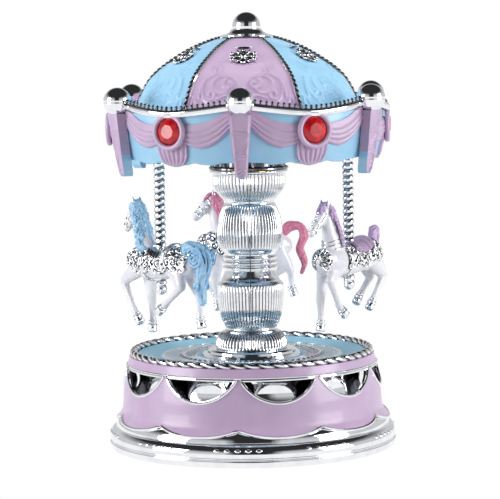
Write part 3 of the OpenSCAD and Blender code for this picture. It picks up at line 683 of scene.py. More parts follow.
def column_half(name, sign, node):
    """One half of the column, cut a hair before the seam plane and closed there."""
    section = [(min(r, COLUMN_R - 0.02), z) for r, z in column_line]
    section += [(BORE_R, COLUMN_TOP), (BORE_R, COLUMN_LOW)]
    bm = turned(section, REEDS * 8, rule=reed_rule)
    # painted shade in the grooves between the reeds
    store_painted_hollow_shade(bm, reed_depth)
    cut = bmesh.ops.bisect_plane(bm, geom=bm.verts[:] + bm.edges[:] + bm.faces[:], dist=1e-5,
                                 plane_co=(0.17 * sign, 0, 0), plane_no=(-sign, 0, 0), clear_outer=True)
    edges = [e for e in cut["geom_cut"] if isinstance(e, bmesh.types.BMEdge)]
    bmesh.ops.triangle_fill(bm, edges=edges, use_beauty=True)
    return new_piece(name, bm, "base", [chrome_with_painted_hollow_shade], [node])


column_half("column_fluted_right", 1, "column_right_shell")
column_half("column_fluted_left", -1, "column_left_shell")

# %% [markdown]
# Between the column and the canopy sits a collar with light upright ribs over a bright ring. Its near-black
# plating is painted shade, for the shade under the canopy.

# %% Ribbed collar
def collar_rule(azimuth, radius, height):
    """Raises a narrow upright rib every fifteenth of the way round."""
    rib = math.exp(-(offset_from(azimuth, 7, 24) / 1.5) ** 2)
    if radius < COLLAR_R - 1.4 or height < COLLAR_LOW + 1.3:
        return radius, height
    return radius + 0.7 * rib, height


collar_section = [
    (9.2, COLLAR_LOW), (COLLAR_R - 0.6, COLLAR_LOW), (COLLAR_R, COLLAR_LOW + 0.3),
    (COLLAR_R, COLLAR_LOW + 0.9),
    (COLLAR_R - 0.5, COLLAR_LOW + 1.2), (COLLAR_R - 1.1, COLLAR_LOW + 1.5), (COLLAR_R - 1.2, COLLAR_LOW + 3),
    (COLLAR_R - 1.2, COLLAR_TOP), (9.2, COLLAR_TOP)]
# the collar's near-black plating is painted shade
new_piece("column_ribbed_collar", turned(collar_section, 360, rule=collar_rule), "base", [shade_painted_chrome],
          ["column_top_collar"])

# %% [markdown]
# # The canopy
# Six equal sections hang between six ball finials. Every curve of the canopy depends on how far a
# place is from the nearest ball, so one function measures that, from 0 at a ball to 1 at a gem, and
# a few curves say how the plated band sags and where the valance ends.

# %% Curves shared by the canopy's pieces
BALL_RING_R = max(-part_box("ball_finials")[0].y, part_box("ball_finials")[1].y) / MM - BALL_SIZE
BAND_HIGH = BALL_Z - 1.1
BAND_SAG = 3.2
VALANCE_EDGE = [(0, 111.0), (7, 110.7), (13.5, 109.9), (17.5, 110.1), (21, 110.6), (25, 109.9), (30, 109.2)]


def from_ball(azimuth):
    """Degrees to the nearest ball finial, from 0 to 30."""
    return abs(offset_from(azimuth, CANOPY_TURN, PANELS))


def band_middle(azimuth):
    """Height of the plated band's middle line."""
    return BAND_HIGH - BAND_SAG * (1 - (1 - from_ball(azimuth) / 30) ** 1.35)


def valance_radius(height):
    """Outer radius of the valance at a height."""
    return along([(105, VALANCE_R - 3.8), (109.2, VALANCE_R - 2.9), (115, VALANCE_R - 1.4),
                  (120, VALANCE_R - 0.4), (126, VALANCE_R)], height)


def valance_edge(azimuth):
    """Height of the valance's wavy lower edge."""
    line = VALANCE_EDGE
    u = from_ball(azimuth)
    for (u0, z0), (u1, z1) in zip(line, line[1:]):
        if u <= u1:
            return z0 + (z1 - z0) * ease(u0, u1, u)
    return line[-1][1]


print(f"balls on a circle of {BALL_RING_R:.1f} mm")
print(f"band from {BAND_HIGH:.1f} down to {BAND_HIGH - BAND_SAG:.1f} mm")

# %% [markdown]
# The valance is a thin blue skirt, moulded in one piece. It leans out upwards, and its lower edge
# waves. It is turned from a closed section, then its height is stretched to meet both edges.

# %% Blue valance
VALANCE_FOOT = 109.2


def valance_rule(azimuth, radius, height):
    """Stretches the skirt between its wavy lower edge and the plated band."""
    depth = valance_radius(height) - radius
    share = (height - VALANCE_FOOT) / (VALANCE_TOP - VALANCE_FOOT)
    top = band_middle(azimuth) + 0.6
    height = valance_edge(azimuth) + (top - valance_edge(azimuth)) * share
    return valance_radius(height) - depth, height


skirt_levels = [VALANCE_FOOT + (VALANCE_TOP - VALANCE_FOOT) * k / 12 for k in range(13)]
skirt = [(valance_radius(VALANCE_FOOT) - 0.6, VALANCE_FOOT - 0.25)] + [(valance_radius(z),
                                                                        z) for z in skirt_levels]
skirt += [(valance_radius(z) - 1.5, z) for z in reversed(skirt_levels)]
new_piece("canopy_blue_valance", turned(skirt, 720, rule=valance_rule), "carousel", [sky],
          ["canopy_valance"])

# %% [markdown]
# Lilac swags hang over the valance, from each tassel's upper corner down to the gem's setting. Each
# is a sheet laid between two curves. Its folds run along it and are part of the mesh, and the sheet
# is given a thickness so that its lower edge casts a line on the blue.

# %% Lilac swags
SWAG_UPPER = [(3.6, 130.4), (6, 129.2), (9, 127.7), (12.5, 126.0), (16.5, 124.9), (20.6, 124.4),
              (25.5, 124.6)]
SWAG_LOWER = [(3.6, 123.6), (5, 122.3), (7, 120.3), (9, 118.6), (12.5, 116.6), (16.5, 115.7),
              (20.6, 116.4), (25.5, 118.0)]
SWAG_FOLDS = 4


def swag_point(u, t):
    """A place on a swag: u degrees from the tassel, t from 0 at the upper edge to 1 at the lower."""
    high = min(along(SWAG_UPPER, u), band_middle(CANOPY_TURN + u) - 0.9)
    height = high + (along(SWAG_LOWER, u) - high) * t
    fold = abs(math.sin(math.pi * SWAG_FOLDS * t ** 1.25)) ** 0.8
    swell = 0.45 + 0.5 * fold * (0.3 + 0.7 * t) + 0.5 * math.sin(math.pi * t)
    return valance_radius(height) + swell, height


swag_bm = bmesh.new()
for section in range(PANELS):
    for hand in (-1, 1):
        sheet = bmesh.ops.create_grid(swag_bm, x_segments=28, y_segments=36, size=0.5)["verts"]
        for point in sheet:
            u = 3.6 + (25.5 - 3.6) * (point.co.x + 0.5)
            radius, height = swag_point(u, 0.5 - point.co.y)
            point.co = place(CANOPY_TURN + section * 60 + hand * u, radius, height)
bmesh.ops.recalc_face_normals(swag_bm, faces=swag_bm.faces)
inward = [f for f in swag_bm.faces
          if f.normal.dot(Vector((f.calc_center_median().x, f.calc_center_median().y, 0))) < 0]
bmesh.ops.reverse_faces(swag_bm, faces=inward)
bmesh.ops.solidify(swag_bm, geom=swag_bm.faces[:], thickness=0.5)
new_piece("valance_lilac_swags", swag_bm, "carousel", [lilac])

# %% [markdown]
# The plated band hangs from ball to ball like a garland. Its section has a fine groove along the
# middle. A row of small teeth stands on it all the way round, where the dome rests.

# %% Plated band and its row of teeth
def band_rule(azimuth, radius, height):
    """Hangs the band's section, drawn round height 0, on its middle line."""
    return radius, height + band_middle(azimuth)


band_section = [
    (BAND_R - 2.6, -1.45), (BAND_R - 1.2, -1.5), (BAND_R - 0.5, -1.3), (BAND_R - 0.1, -0.8), (BAND_R, -0.4),
    (BAND_R - 0.4, -0.12), (BAND_R - 0.4, 0.12), (BAND_R, 0.4), (BAND_R - 0.1, 0.8), (BAND_R - 0.5, 1.3),
    (BAND_R - 1.2, 1.5), (BAND_R - 2.6, 1.45)]
new_piece("canopy_wavy_band", turned(band_section, 720, rule=band_rule), "carousel", [chrome],
          ["rim_band"])

TEETH = 156
teeth_bm = bmesh.new()
for tooth in range(TEETH):
    azimuth = CANOPY_TURN + (tooth + 0.5) * 360 / TEETH
    out = place(azimuth, 1, 0.5)
    across = place(azimuth + 90, 1, 0)
    steep = out.cross(across)
    if from_ball(azimuth) > 4.5:
        oblong(teeth_bm, place(azimuth, BAND_R - 1.55, band_middle(azimuth) + 2.05), steep, out, 0.95,
               0.62, 0.6, 1)
# the teeth get near-black plating as painted shade
new_piece("canopy_band_teeth", teeth_bm, "carousel", [shade_painted_chrome], sharp=60)

# %% [markdown]
# The dome is moulded in one piece and painted lilac and sky blue in turn. Its section is a smooth
# curve that gets steeper towards the eaves and ends in a narrow ledge behind the plated band.

# %% The dome's section
dome_outline = [
    (9.0, DOME_TOP - 0.6), (13.5, DOME_TOP - 1.8), (21, DOME_TOP - 4.9), (28.5, DOME_TOP - 9.4),
    (34, DOME_TOP - 13.6),
    (37.4, DOME_TOP - 17.4), (40, DOME_TOP - 21.6), (41.6, DOME_TOP - 24.4), (43.4, DOME_TOP - 25.9),
    (47, DOME_TOP - 26.1), (52.0, DOME_TOP - 26.1)]
dome_line = [tuple(p) for p in smooth_line(dome_outline, 12)]
dome_gaps = [math.dist(p, q) for p, q in zip(dome_line, dome_line[1:])]
dome_travel = list(zip([p[0] for p in dome_line], np.concatenate([[0], np.cumsum(dome_gaps)])))
RIM_TRAVEL = along(dome_travel, 42.6)
print(f"{RIM_TRAVEL:.1f} mm from the finial's foot to the eaves, measured over the dome")

# %% [markdown]
# Each panel carries raised scrollwork. The scrolls are drawn as curls and arcs on a flat panel, and
# the skin rises wherever it lies close to one of those lines, so the relief is real and catches the
# light from any side.


# %% Scrolls of one panel
def spiral(across, down, start, end, wide, narrow, steps=40):
    """Points of a curl round a centre: angles in degrees, and the radius shrinks from wide to narrow."""
    turns = np.linspace(math.radians(start), math.radians(end), steps)
    sizes = np.linspace(wide, narrow, steps)
    return [(across + s * math.cos(t), down + s * math.sin(t)) for t, s in zip(turns, sizes)]


def arc_line(points):
    """A smooth line through a few points of a panel."""
    return [tuple(p) for p in smooth_line(points, 12)]


# across the panel in mm, and mm over the dome from the eaves upwards; the other half is its mirror image
scrolls = [
    spiral(8.4, 7.2, 200, -60, 7.4, 6.2), spiral(7.2, 8.6, 130, -150, 4.9, 2.6),
    spiral(4.6, 9.4, 60, -260, 2.6, 0.8),
    spiral(11.6, 5.4, 300, 40, 2.4, 0.8), arc_line([(9.4, 14.2), (7.4, 17.0), (8.8, 19.6), (6.6, 21.8)]),
    arc_line([(10.6, 13.4), (9.8, 16.2), (11.4, 18.0)]), arc_line([(1.0, 3.0), (2.2, 5.2), (0.0, 7.6)]),
    arc_line([(13.4, 12.6), (15.2, 9.0), (16.2, 5.0)]), arc_line([(3.0, 2.0), (5.4, 4.4), (9.6, 3.2)]),
    arc_line([(16.8, 2.0), (18.4, 4.6), (19.4, 2.2)])]
scroll_points = np.array([p for line in scrolls for p in line])
print(f"{len(scrolls)} scrolls a half panel, {len(scroll_points)} points")


# %% Painted dome
def dome_height(radius, azimuth):
    """Height of the dome's plain skin."""
    hang = (band_middle(azimuth) - BAND_HIGH + BAND_SAG * 0.5) * ease(36, 44, radius)
    return along(dome_line, radius) + hang


def dome_relief(radius, azimuth):
    """Rise of the scrollwork over the dome's plain skin."""
    up = RIM_TRAVEL - along(dome_travel, radius)
    across = math.radians(from_ball(azimuth)) * radius
    nearest = float(np.hypot(scroll_points[:, 0] - across, scroll_points[:, 1] - up).min())
    relief = 0.5 * math.exp(-(nearest / 0.5) ** 2) + 0.1 * math.exp(-(nearest / 1.7) ** 2)
    return relief * (1 - ease(19.5, 22.5, up)) * ease(0.2, 1.4, up)


def dome_rule(azimuth, radius, height):
    """Pushes the outer skin out by the relief and lets the eaves hang with the band."""
    plain = along(dome_line, radius)
    hang = dome_height(radius, azimuth) - plain
    if height < plain - 0.3 or radius > 43.5:
        return radius, height + hang
    slope = (along(dome_line, radius + 0.2) - along(dome_line, radius - 0.2)) / 0.4
    relief = dome_relief(radius, azimuth) / math.hypot(1, slope)
    return radius - slope * relief, height + hang + relief


over = np.linspace(0, dome_travel[-1][1], 104)
rows = [float(np.interp(t, [p[1] for p in dome_travel], [p[0] for p in dome_travel])) for t in over]
skin = [(r, along(dome_line, r)) for r in rows]
skin += [(51.6, skin[-1][1] - 1.2)] + [(r - 1.0, along(dome_line, r) - 1.2) for r in reversed(rows[4:-6:8])]
dome_bm = turned(skin, 720, rule=dome_rule)
for face in dome_bm.faces:
    middle = face.calc_center_median()
    azimuth = math.degrees(math.atan2(middle.x, -middle.y))
    face.material_index = round((azimuth - CANOPY_TURN) / 60) % 2
new_piece("dome_painted_panels", dome_bm, "carousel", [lilac, sky], ["canopy_dome"],
          sharp=50)

# %% [markdown]
# Plated seams hide the joints between the panels: a thin raised strip with a row of oblong beads that
# grow towards the eaves.

# %% Seams and their beads
SEAM_BEADS = 24
seam_bm = bmesh.new()
bead_bm = bmesh.new()
for panel in range(PANELS):
    seam = CANOPY_TURN + 30 + panel * 60
    strip = [place(seam, r, dome_height(r, seam) - 0.2) for r in np.linspace(10, 43.2, 34)]
    swept(strip, [0.6 + 0.35 * k / 33 for k in range(34)], 8, bm=seam_bm)
    for bead in range(SEAM_BEADS):
        share = bead / (SEAM_BEADS - 1)
        size = 0.62 + 0.42 * share
        radius = float(np.interp(1.6 + (RIM_TRAVEL - 1.8) * share ** 1.12, [p[1] for p in dome_travel],
                                 [p[0] for p in dome_travel]))
        here = place(seam, radius, dome_height(radius, seam))
        ahead = place(seam, radius + 0.5, dome_height(radius + 0.5, seam))
        run = (ahead - here).normalized()
        out = run.cross(place(seam + 90, 1, 0)) * -1
        if out.z < 0:
            out = -out
        oblong(bead_bm, here + out * (0.55 + 0.25 * share), run, out, size * 1.15, size * 0.8, size * 0.62)
new_piece("dome_seam_strips", seam_bm, "carousel", [chrome])
# the beads get near-black plating as painted shade
new_piece("dome_seam_beads", bead_bm, "carousel", [shade_painted_chrome], ["seam_beads"])

# %% [markdown]
# High on every panel is a plated openwork flower, a separate small casting pinned to the dome. It is
# built from rings and petals lying in the dome's tangent plane.

# %% Openwork flowers
def tangent_frame(azimuth, radius, lift):
    """A matrix whose X runs across the panel, Y up the dome and Z out of it."""
    here = place(azimuth, radius, dome_height(radius, azimuth))
    up_slope = (place(azimuth, radius - 1, dome_height(radius - 1, azimuth)) - here).normalized()
    across = place(azimuth + 90, 1, 0)
    out = across.cross(up_slope)
    return Matrix.Translation(here + out * lift) @ Matrix((across, up_slope, out)).transposed().to_4x4()


def loop_ring(bm, frame_matrix, centre, wide, tall, thick, turn=0.0):
    """An oval ring of wire lying in the tangent plane."""
    path = []
    for k in range(16):
        t = k * math.pi / 8
        x, y = wide * math.cos(t), tall * math.sin(t)
        c, s = math.cos(turn), math.sin(turn)
        path.append(frame_matrix @ Vector((centre[0] + x * c - y * s, centre[1] + x * s + y * c, 0)))
    swept(path, thick, 6, True, bm)


FLOWER_R = 26.2
flower_bm = bmesh.new()
for panel in range(PANELS):
    lie = tangent_frame(CANOPY_TURN + panel * 60, FLOWER_R, 0.6)
    for petal in range(6):
        turn = math.radians(60 * petal + 30)
        loop_ring(flower_bm, lie, (2.9 * math.cos(turn), 2.5 * math.sin(turn)), 1.7, 1.05, 0.3, turn)
        tip = lie @ Vector((4.9 * math.cos(turn), 4.0 * math.sin(turn), 0.1))
        oblong(flower_bm, tip, lie.col[0].to_3d(), lie.col[2].to_3d(), 0.7, 0.6, 0.5)
    for petal in range(6):
        turn = math.radians(60 * petal)
        leaf = lie @ Vector((4.0 * math.cos(turn), 3.3 * math.sin(turn), 0.1))
        run = (lie.to_3x3() @ Vector((math.cos(turn), math.sin(turn), 0)))
        oblong(flower_bm, leaf, run, lie.col[2].to_3d(), 1.3, 0.5, 0.45)
    oblong(flower_bm, lie @ Vector((0, 0, 0.2)), lie.col[0].to_3d(), lie.col[2].to_3d(), 1.15, 1.15, 0.8)
    for hand in (-1, 1):
        oblong(flower_bm, lie @ Vector((hand * 2.6, 6.4, 0)), lie.col[0].to_3d(), lie.col[2].to_3d(), 0.45,
               0.45, 0.45)
new_piece("dome_openwork_flowers", flower_bm, "carousel", [chrome], sharp=60)

# Near-black ovals under each flower: painted shade seen through the openwork.
flower_shade_bm = bmesh.new()
for panel in range(PANELS):
    lie = tangent_frame(CANOPY_TURN + panel * 60, FLOWER_R, 0.15)
    oblong(flower_shade_bm, lie.translation, lie.col[0].to_3d(), lie.col[2].to_3d(), 4.6, 4.2, 0.45)
    oblong(flower_shade_bm, lie @ Vector((0, 6.4, 0)), lie.col[0].to_3d(), lie.col[2].to_3d(), 2.6, 0.5, 0.5)
new_piece("dome_flower_shade_sheets", flower_shade_bm, "carousel", [shade_painted_chrome])

# %% [markdown]
# Six plated balls stand where the panels' middles meet the eaves. Each was plated in two halves, and
# a fine groove shows at its equator.

# %% Ball finials
ball_bm = bmesh.new()
for ball in range(PANELS):
    middle = place(CANOPY_TURN + 60 * ball, BALL_RING_R, BALL_Z)
    made = bmesh.ops.create_uvsphere(ball_bm, u_segments=48, v_segments=36, radius=BALL_SIZE)["verts"]
    for point in made:
        closeness = math.exp(-(point.co.z / 0.22) ** 2)
        point.co *= 1 - 0.02 * closeness
    bmesh.ops.translate(ball_bm, verts=made, vec=middle)
new_piece("ball_finials_plated", ball_bm, "carousel", [chrome], ["ball_finials"])

# %% [markdown]
# Under each ball hangs a tassel board: a lilac board, wider above than below, framed by a raised line
# down each edge and creased by a few cast folds. It leans in with the valance and ends in a point
# with its corners cut off.

# %% Tassel boards
BOARD_TOP = BALL_Z - 4.4
BOARD_CREASES = [((-1, 121.9), (0.9, 121.2)), ((-1, 120.8), (0.95, 120.3)), ((-0.2, 115.3), (0.95, 119.3)),
                 ((-0.1, 114.2), (0.95, 118.2)), ((-1, 114.0), (0.95, 113.3)), ((-1, 112.8), (0.9, 112.3)),
                 ((-1, 107.2), (0.95, 109.2)), ((-0.8, 106.0), (0.9, 107.8))]


def board_half_width(height):
    """Half the board's width at a height, with its lower corners cut off."""
    return along([(TASSEL_LOW, 1.1), (TASSEL_LOW + 1.3, 2.05), (TASSEL_LOW + 4, 2.5), (BOARD_TOP, 4.25),
                  (132, 4.3)], height)


def board_front(height):
    """Radius of the board's face at a height."""
    return along([(TASSEL_LOW, 52.3), (112, 53.6), (BOARD_TOP, 56.0), (132, 56.2)], height)


def crease(share, height):
    """Rise of the cast folds at a place on the board's face, in mm."""
    rise = 0.0
    for (s0, z0), (s1, z1) in BOARD_CREASES:
        if s0 <= share <= s1:
            line = z0 + (z1 - z0) * (share - s0) / (s1 - s0)
            rise = max(rise, 0.28 * math.exp(-((height - line) / 0.42) ** 2))
    return rise


board_bm = bmesh.new()
for section in range(PANELS):
    azimuth = CANOPY_TURN + section * 60
    turn = Matrix.Rotation(math.radians(azimuth), 4, "Z")
    board = bmesh.ops.create_grid(board_bm, x_segments=20, y_segments=110, size=0.5)["verts"]
    faces = list({f for v in board for f in v.link_faces})
    for point in board:
        share, height = point.co.x * 2, TASSEL_LOW + (BOARD_TOP - TASSEL_LOW) * (point.co.y + 0.5)
        edge = 0.45 * ease(0.74, 0.86, abs(share))
        hollow = 0.35 * (1 - share ** 2)
        out = board_front(height) - hollow + edge + crease(share, height) * (1 - ease(0.74, 0.8, abs(share)))
        point.co = turn @ Vector((share * board_half_width(height), -out, height))
    back = bmesh.ops.extrude_face_region(board_bm, geom=faces)
    behind = [e for e in back["geom"] if isinstance(e, bmesh.types.BMVert)]
    for point in behind:
        flat = turn.inverted() @ point.co
        flat.y = -(board_front(flat.z) - 3.4)
        flat.x *= 0.92
        point.co = turn @ flat
bmesh.ops.recalc_face_normals(board_bm, faces=board_bm.faces)
for face in board_bm.faces:
    middle = face.calc_center_median()
    outwards = place(math.degrees(math.atan2(middle.x, -middle.y)), 1, 0)
    if face.normal.dot(outwards) < 0.5 and middle.z < 113:
        face.material_index = 1
new_piece("tassel_boards", board_bm, "carousel", [lilac, sky], ["tassels"], sharp=40)

# %% [markdown]
# Each gem is moulded in clear red acrylic with a flat table and two rows of facets. Its facets stay
# flat-shaded, as cut faces are.

# %% Faceted gems
GEM_RING_R = 52.0
GEM_SIZE = 5.2


def gem_frame(section, lift=0.0):
    """A matrix whose X runs across the gem, Y upwards and Z out of the valance."""
    azimuth = CANOPY_TURN + 30 + section * 60
    lean = Matrix.Rotation(math.radians(90), 4, "X")
    return (Matrix.Translation(place(azimuth, GEM_RING_R + lift, GEM_Z))
            @ Matrix.Rotation(math.radians(azimuth), 4, "Z") @ lean)


gem_material = finish("red_gem_acrylic", (0.72, 0.012, 0.02), (0.30, 0.0, 0.008), (0.10, 0.2), 0.0, 420,
                      0.0, 900, 0.15)
gem_bm = bmesh.new()
for section in range(PANELS):
    rows = []
    for radius, rise, count, start in ((GEM_SIZE, 0.5, 16, 0), (GEM_SIZE * 0.84, 1.35, 16, 11.25),
                                       (GEM_SIZE * 0.5, 2.2, 8, 11.25)):
        rows.append([gem_bm.verts.new(gem_frame(section) @ Vector((
            radius * math.cos(math.radians(start + k * 360 / count)),
            radius * math.sin(math.radians(start + k * 360 / count)), rise))) for k in range(count)])
    floor_ring = [gem_bm.verts.new(gem_frame(section) @ Vector((
        GEM_SIZE * math.cos(math.radians(k * 22.5)), GEM_SIZE * math.sin(math.radians(k * 22.5)),
        0.0))) for k in range(16)]
    for k in range(16):
        low, high = rows[0], rows[1]
        gem_bm.faces.new((floor_ring[k], floor_ring[(k + 1) % 16], low[(k + 1) % 16], low[k]))
        gem_bm.faces.new((low[k], low[(k + 1) % 16], high[k]))
        gem_bm.faces.new((low[(k + 1) % 16], high[(k + 1) % 16], high[k]))
    for k in range(8):
        high, table = rows[1], rows[2]
        gem_bm.faces.new((high[2 * k], high[2 * k + 1], table[k]))
        gem_bm.faces.new((high[2 * k + 1], table[(k + 1) % 8], table[k]))
        gem_bm.faces.new((high[2 * k + 1], high[(2 * k + 2) % 16], table[(k + 1) % 8]))
    gem_bm.faces.new(rows[2])
    gem_bm.faces.new(floor_ring)
new_piece("faceted_red_gems", gem_bm, "carousel", [gem_material], ["gems"], sharp=3)

# %% [markdown]
# A thick lilac ring holds each gem, and a pleated drop hangs from it, as wide as the ring, and ends
# rounded at the valance's lower edge.

# %% Gem settings and pleated drops
def drop_half_width(height):
    """Half the width of the pleated drop at a height."""
    return along([(109.0, 0.4), (109.3, 2.2), (110, 3.9), (111.4, 5.2), (113.5, 6.0), (116.5, 6.3),
                  (118.5, 6.1)], height)


setting_bm = bmesh.new()
for section in range(PANELS):
    ring_path = [gem_frame(section, 0.9) @ Vector((6.0 * math.cos(t), 6.0 * math.sin(t), 0))
                 for t in np.arange(0, 2 * math.pi - 0.01, math.pi / 24)]
    swept(ring_path, 1.0, 12, True, setting_bm)
    azimuth = CANOPY_TURN + 30 + section * 60
    turn = Matrix.Rotation(math.radians(azimuth), 4, "Z")
    drop = bmesh.ops.create_grid(setting_bm, x_segments=48, y_segments=16, size=0.5)["verts"]
    faces = list({f for v in drop for f in v.link_faces})
    for point in drop:
        share, height = point.co.x * 2, 109.0 + 9.6 * (point.co.y + 0.5)
        pleat = abs(math.cos(share * math.pi * 3))
        out = valance_radius(height) + 0.35 + 0.55 * pleat * ease(109, 111.5,
                                                                  height) + 0.5 * math.cos(share * 1.3)
        across = share * drop_half_width(height)
        point.co = turn @ Vector((across, -math.sqrt(out ** 2 - across ** 2), height))
    back = bmesh.ops.extrude_face_region(setting_bm, geom=faces)
    for point in (e for e in back["geom"] if isinstance(e, bmesh.types.BMVert)):
        flat = turn.inverted() @ point.co
        flat.y *= 0.972
        point.co = turn @ flat
new_piece("gem_settings_and_drops", setting_bm, "carousel", [lilac], ["gem_bezels"], sharp=45)

# %% [markdown]
# The dome ends in a flared plated pedestal with a ball. Both are turned in one go.

# %% Finial
finial = [(0, DOME_TOP - 2.8), (8.2, DOME_TOP - 2.8), (8.6, DOME_TOP - 0.6), (10.2, DOME_TOP - 0.3),
          (10.2, DOME_TOP + 0.1),
          (9.2, DOME_TOP + 0.4), (7.8, DOME_TOP + 0.8), (6.6, DOME_TOP + 1.4), (5.9, DOME_TOP + 2.2),
          (5.8, DOME_TOP + 2.6),
          (5.0, DOME_TOP + 2.75)]
FINIAL_Z = FINIAL_TOP - FINIAL_R
first = math.asin((DOME_TOP + 2.75 - FINIAL_Z) / FINIAL_R)
finial += [(FINIAL_R * math.cos(t), FINIAL_Z + FINIAL_R * math.sin(t)) for t in np.linspace(first,
                                                                                            math.pi / 2, 22)]
finial[-1] = (0, FINIAL_TOP)
new_piece("finial_turned", turned(finial, 96, closed=False), "carousel", [chrome],
          ["finial_pedestal", "finial_ball"], sharp=45)

# %% [markdown]
# # The horses
# Each horse is drawn in its own frame, in millimetres: the pole at the origin, the nose along +X, its
# left side at +Y, and heights as they are in the whole. One matrix then stands it on its pole.

# %% Where each horse stands
HORSES = {
    "left_horse": {
        "heading": 130.5,
        "legs": [[(11.5, 2.4, 69.5), (18.2, 3.4, 64.6), (12.4, 3.4, 54.2), (9.2, 3.4, 50.2)],
                 [(10, -2.4, 68), (9.6, -3, 57), (9.2, -3, 49.8), (9.6, -3, 46.6)],
                 [(-12.5, 2.6, 70), (-15.8, 3.2, 64.6), (-6.0, 3.4, 57.0), (-3.0, 3.4, 55.0)],
                 [(-14.6, -2.6, 70), (-18.6, -3, 61.6), (-19, -3, 53), (-19.6, -3, 50.2)]],
        "head": [(14.2, 0, 92.2), (19.8, 0, 84.4), (9.6, 0, 75)],
        "tail": [(-15.0, 0, 76.2), (-18.0, 0, 79.6), (-22.8, 0, 79.0), (-25.6, 0, 73.0), (-23.6, 0, 65.4),
                 (-24.4, 0, 58.6)],
        "tail_half": 3.5, "mane_low": 0.0, "mane_reach": 1.0, "chest": 0.0, "cloth": (-18.6, 5.2, 114),
        "collar": (5.6, 17.2, 138)},
    "right_horse": {
        "heading": 233,
        "legs": [[(11.5, 2.4, 69.5), (17.2, 3.2, 65.8), (11.8, 3.4, 55.8), (8.2, 3.4, 52.4)],
                 [(13, -2.4, 68), (14.6, -3, 57.6), (14.4, -3, 50), (14.8, -3, 47.2)],
                 [(-13, 2.6, 70), (-18.2, 3.2, 64.6), (-11, 3.4, 56.2), (-8.6, 3.4, 53.4)],
                 [(-14, -2.6, 70), (-18.6, -3, 63.6), (-11.6, -3, 57.4), (-9.4, -3, 55.0)]],
        "head": [(14.8, -0.4, 91.0), (21.6, -1.6, 83.4), (11.2, 0, 75.6)],
        "tail": [(-15.4, 0, 76.2), (-16.8, -0.4, 80.2), (-19.0, -1.0, 81.8), (-20.4, -1.8, 78.6),
                 (-20.2, -2.2, 73), (-20.8, -2.2, 67)],
        "tail_half": 1.6, "mane_low": 0.35, "mane_reach": 0.55, "chest": 2.8, "cloth": (-15.6, 7.4, 110),
        "collar": (16.9, 20.26, 140)},
    "back_horse": {
        "heading": 183,
        "legs": [[(10, 2.4, 68), (10.4, 3, 58), (9.6, 3, 50.6), (9.6, 3, 48.0)],
                 [(11.5, -2.4, 69.5), (17.6, -3.2, 65), (12, -3.4, 55.2), (9.0, -3.4, 51.4)],
                 [(-14, 2.6, 70), (-19.6, 3, 62.4), (-20, 3, 55.6), (-20.8, 3, 53.2)],
                 [(-13, -2.6, 70), (-17.4, -3.2, 62.6), (-8.6, -3.4, 56.2), (-6.0, -3.4, 53.6)]],
        "head": [(10.8, 0, 90.6), (17.4, 0, 84.2), (8.6, 0, 76)],
        "tail": [(-16.6, 0, 76.4), (-19.6, 0, 79.6), (-23.6, 0, 79.8), (-25.6, 0, 76.2), (-23.8, 0, 70.8),
                 (-25.6, 0, 65.4),
                 (-24.4, 0, 60.8)],
        "tail_half": 2.0, "mane_low": 0.25, "mane_reach": 0.8, "chest": 0.0, "cloth": (-15.6, 5.2, 108),
        "collar": (5.6, 17.2, 130)}}
POLE_PLACES = {joint["child"]: Vector(joint["pos_m"]) / MM for joint in frame["joints"]
               if joint["child"] in HORSES}


def stand(horse):
    """The matrix that takes a point of the horse's own frame to its place on the carousel."""
    pole = POLE_PLACES[horse]
    return (Matrix.Translation((pole.x, pole.y, 0))
            @ Matrix.Rotation(math.radians(HORSES[horse]["heading"]), 4, "Z"))


print({name: [round(c, 1) for c in pole] for name, pole in POLE_PLACES.items()})

# %% [markdown]
# A horse's body is modelled as a row of balls of changing size along each limb, the neck, the head
# and the trunk. One voxel skin is drawn over them all and smoothed, which gives the soft joins of a
# moulded figure. The hair is made the same way from thin wavy strands, with a finer skin, so that
# the strands stay as grooves.

# %% Tools for modelled figures
def fill_chain(bm, points):
    """Balls along a smooth line of (x, y, z, radius) points; a fifth number flattens them sideways."""
    balls = bmesh.new()
    for x, y, z, radius, *flat in smooth_line(points, 8):
        size = Matrix.Diagonal((1, flat[0] if flat else 1, 1, 1))
        bmesh.ops.create_icosphere(balls, subdivisions=3 if radius > 2 else 2, radius=radius,
                                   matrix=Matrix.Translation((x, y, z)) @ size)
    joined(bm, balls)


def skinned(bm, voxel, rounds):
    """One closed voxel skin, smoothed, over everything in bm; returned as a new bmesh."""
    rough = bpy.data.meshes.new("rough")
    bm.to_mesh(rough)
    bm.free()
    figure = bpy.data.objects.new("rough", rough)
    bpy.context.scene.collection.objects.link(figure)
    remesh = figure.modifiers.new("skin", "REMESH")
    remesh.mode = "VOXEL"
    remesh.voxel_size = voxel
    soften = figure.modifiers.new("soften", "SMOOTH")
    soften.factor = 0.5
    soften.iterations = rounds
    done = figure.evaluated_get(bpy.context.evaluated_depsgraph_get()).to_mesh()
    skin_bm = bmesh.new()
    skin_bm.from_mesh(done)
    bpy.data.objects.remove(figure)
    bpy.data.meshes.remove(rough)
    return skin_bm


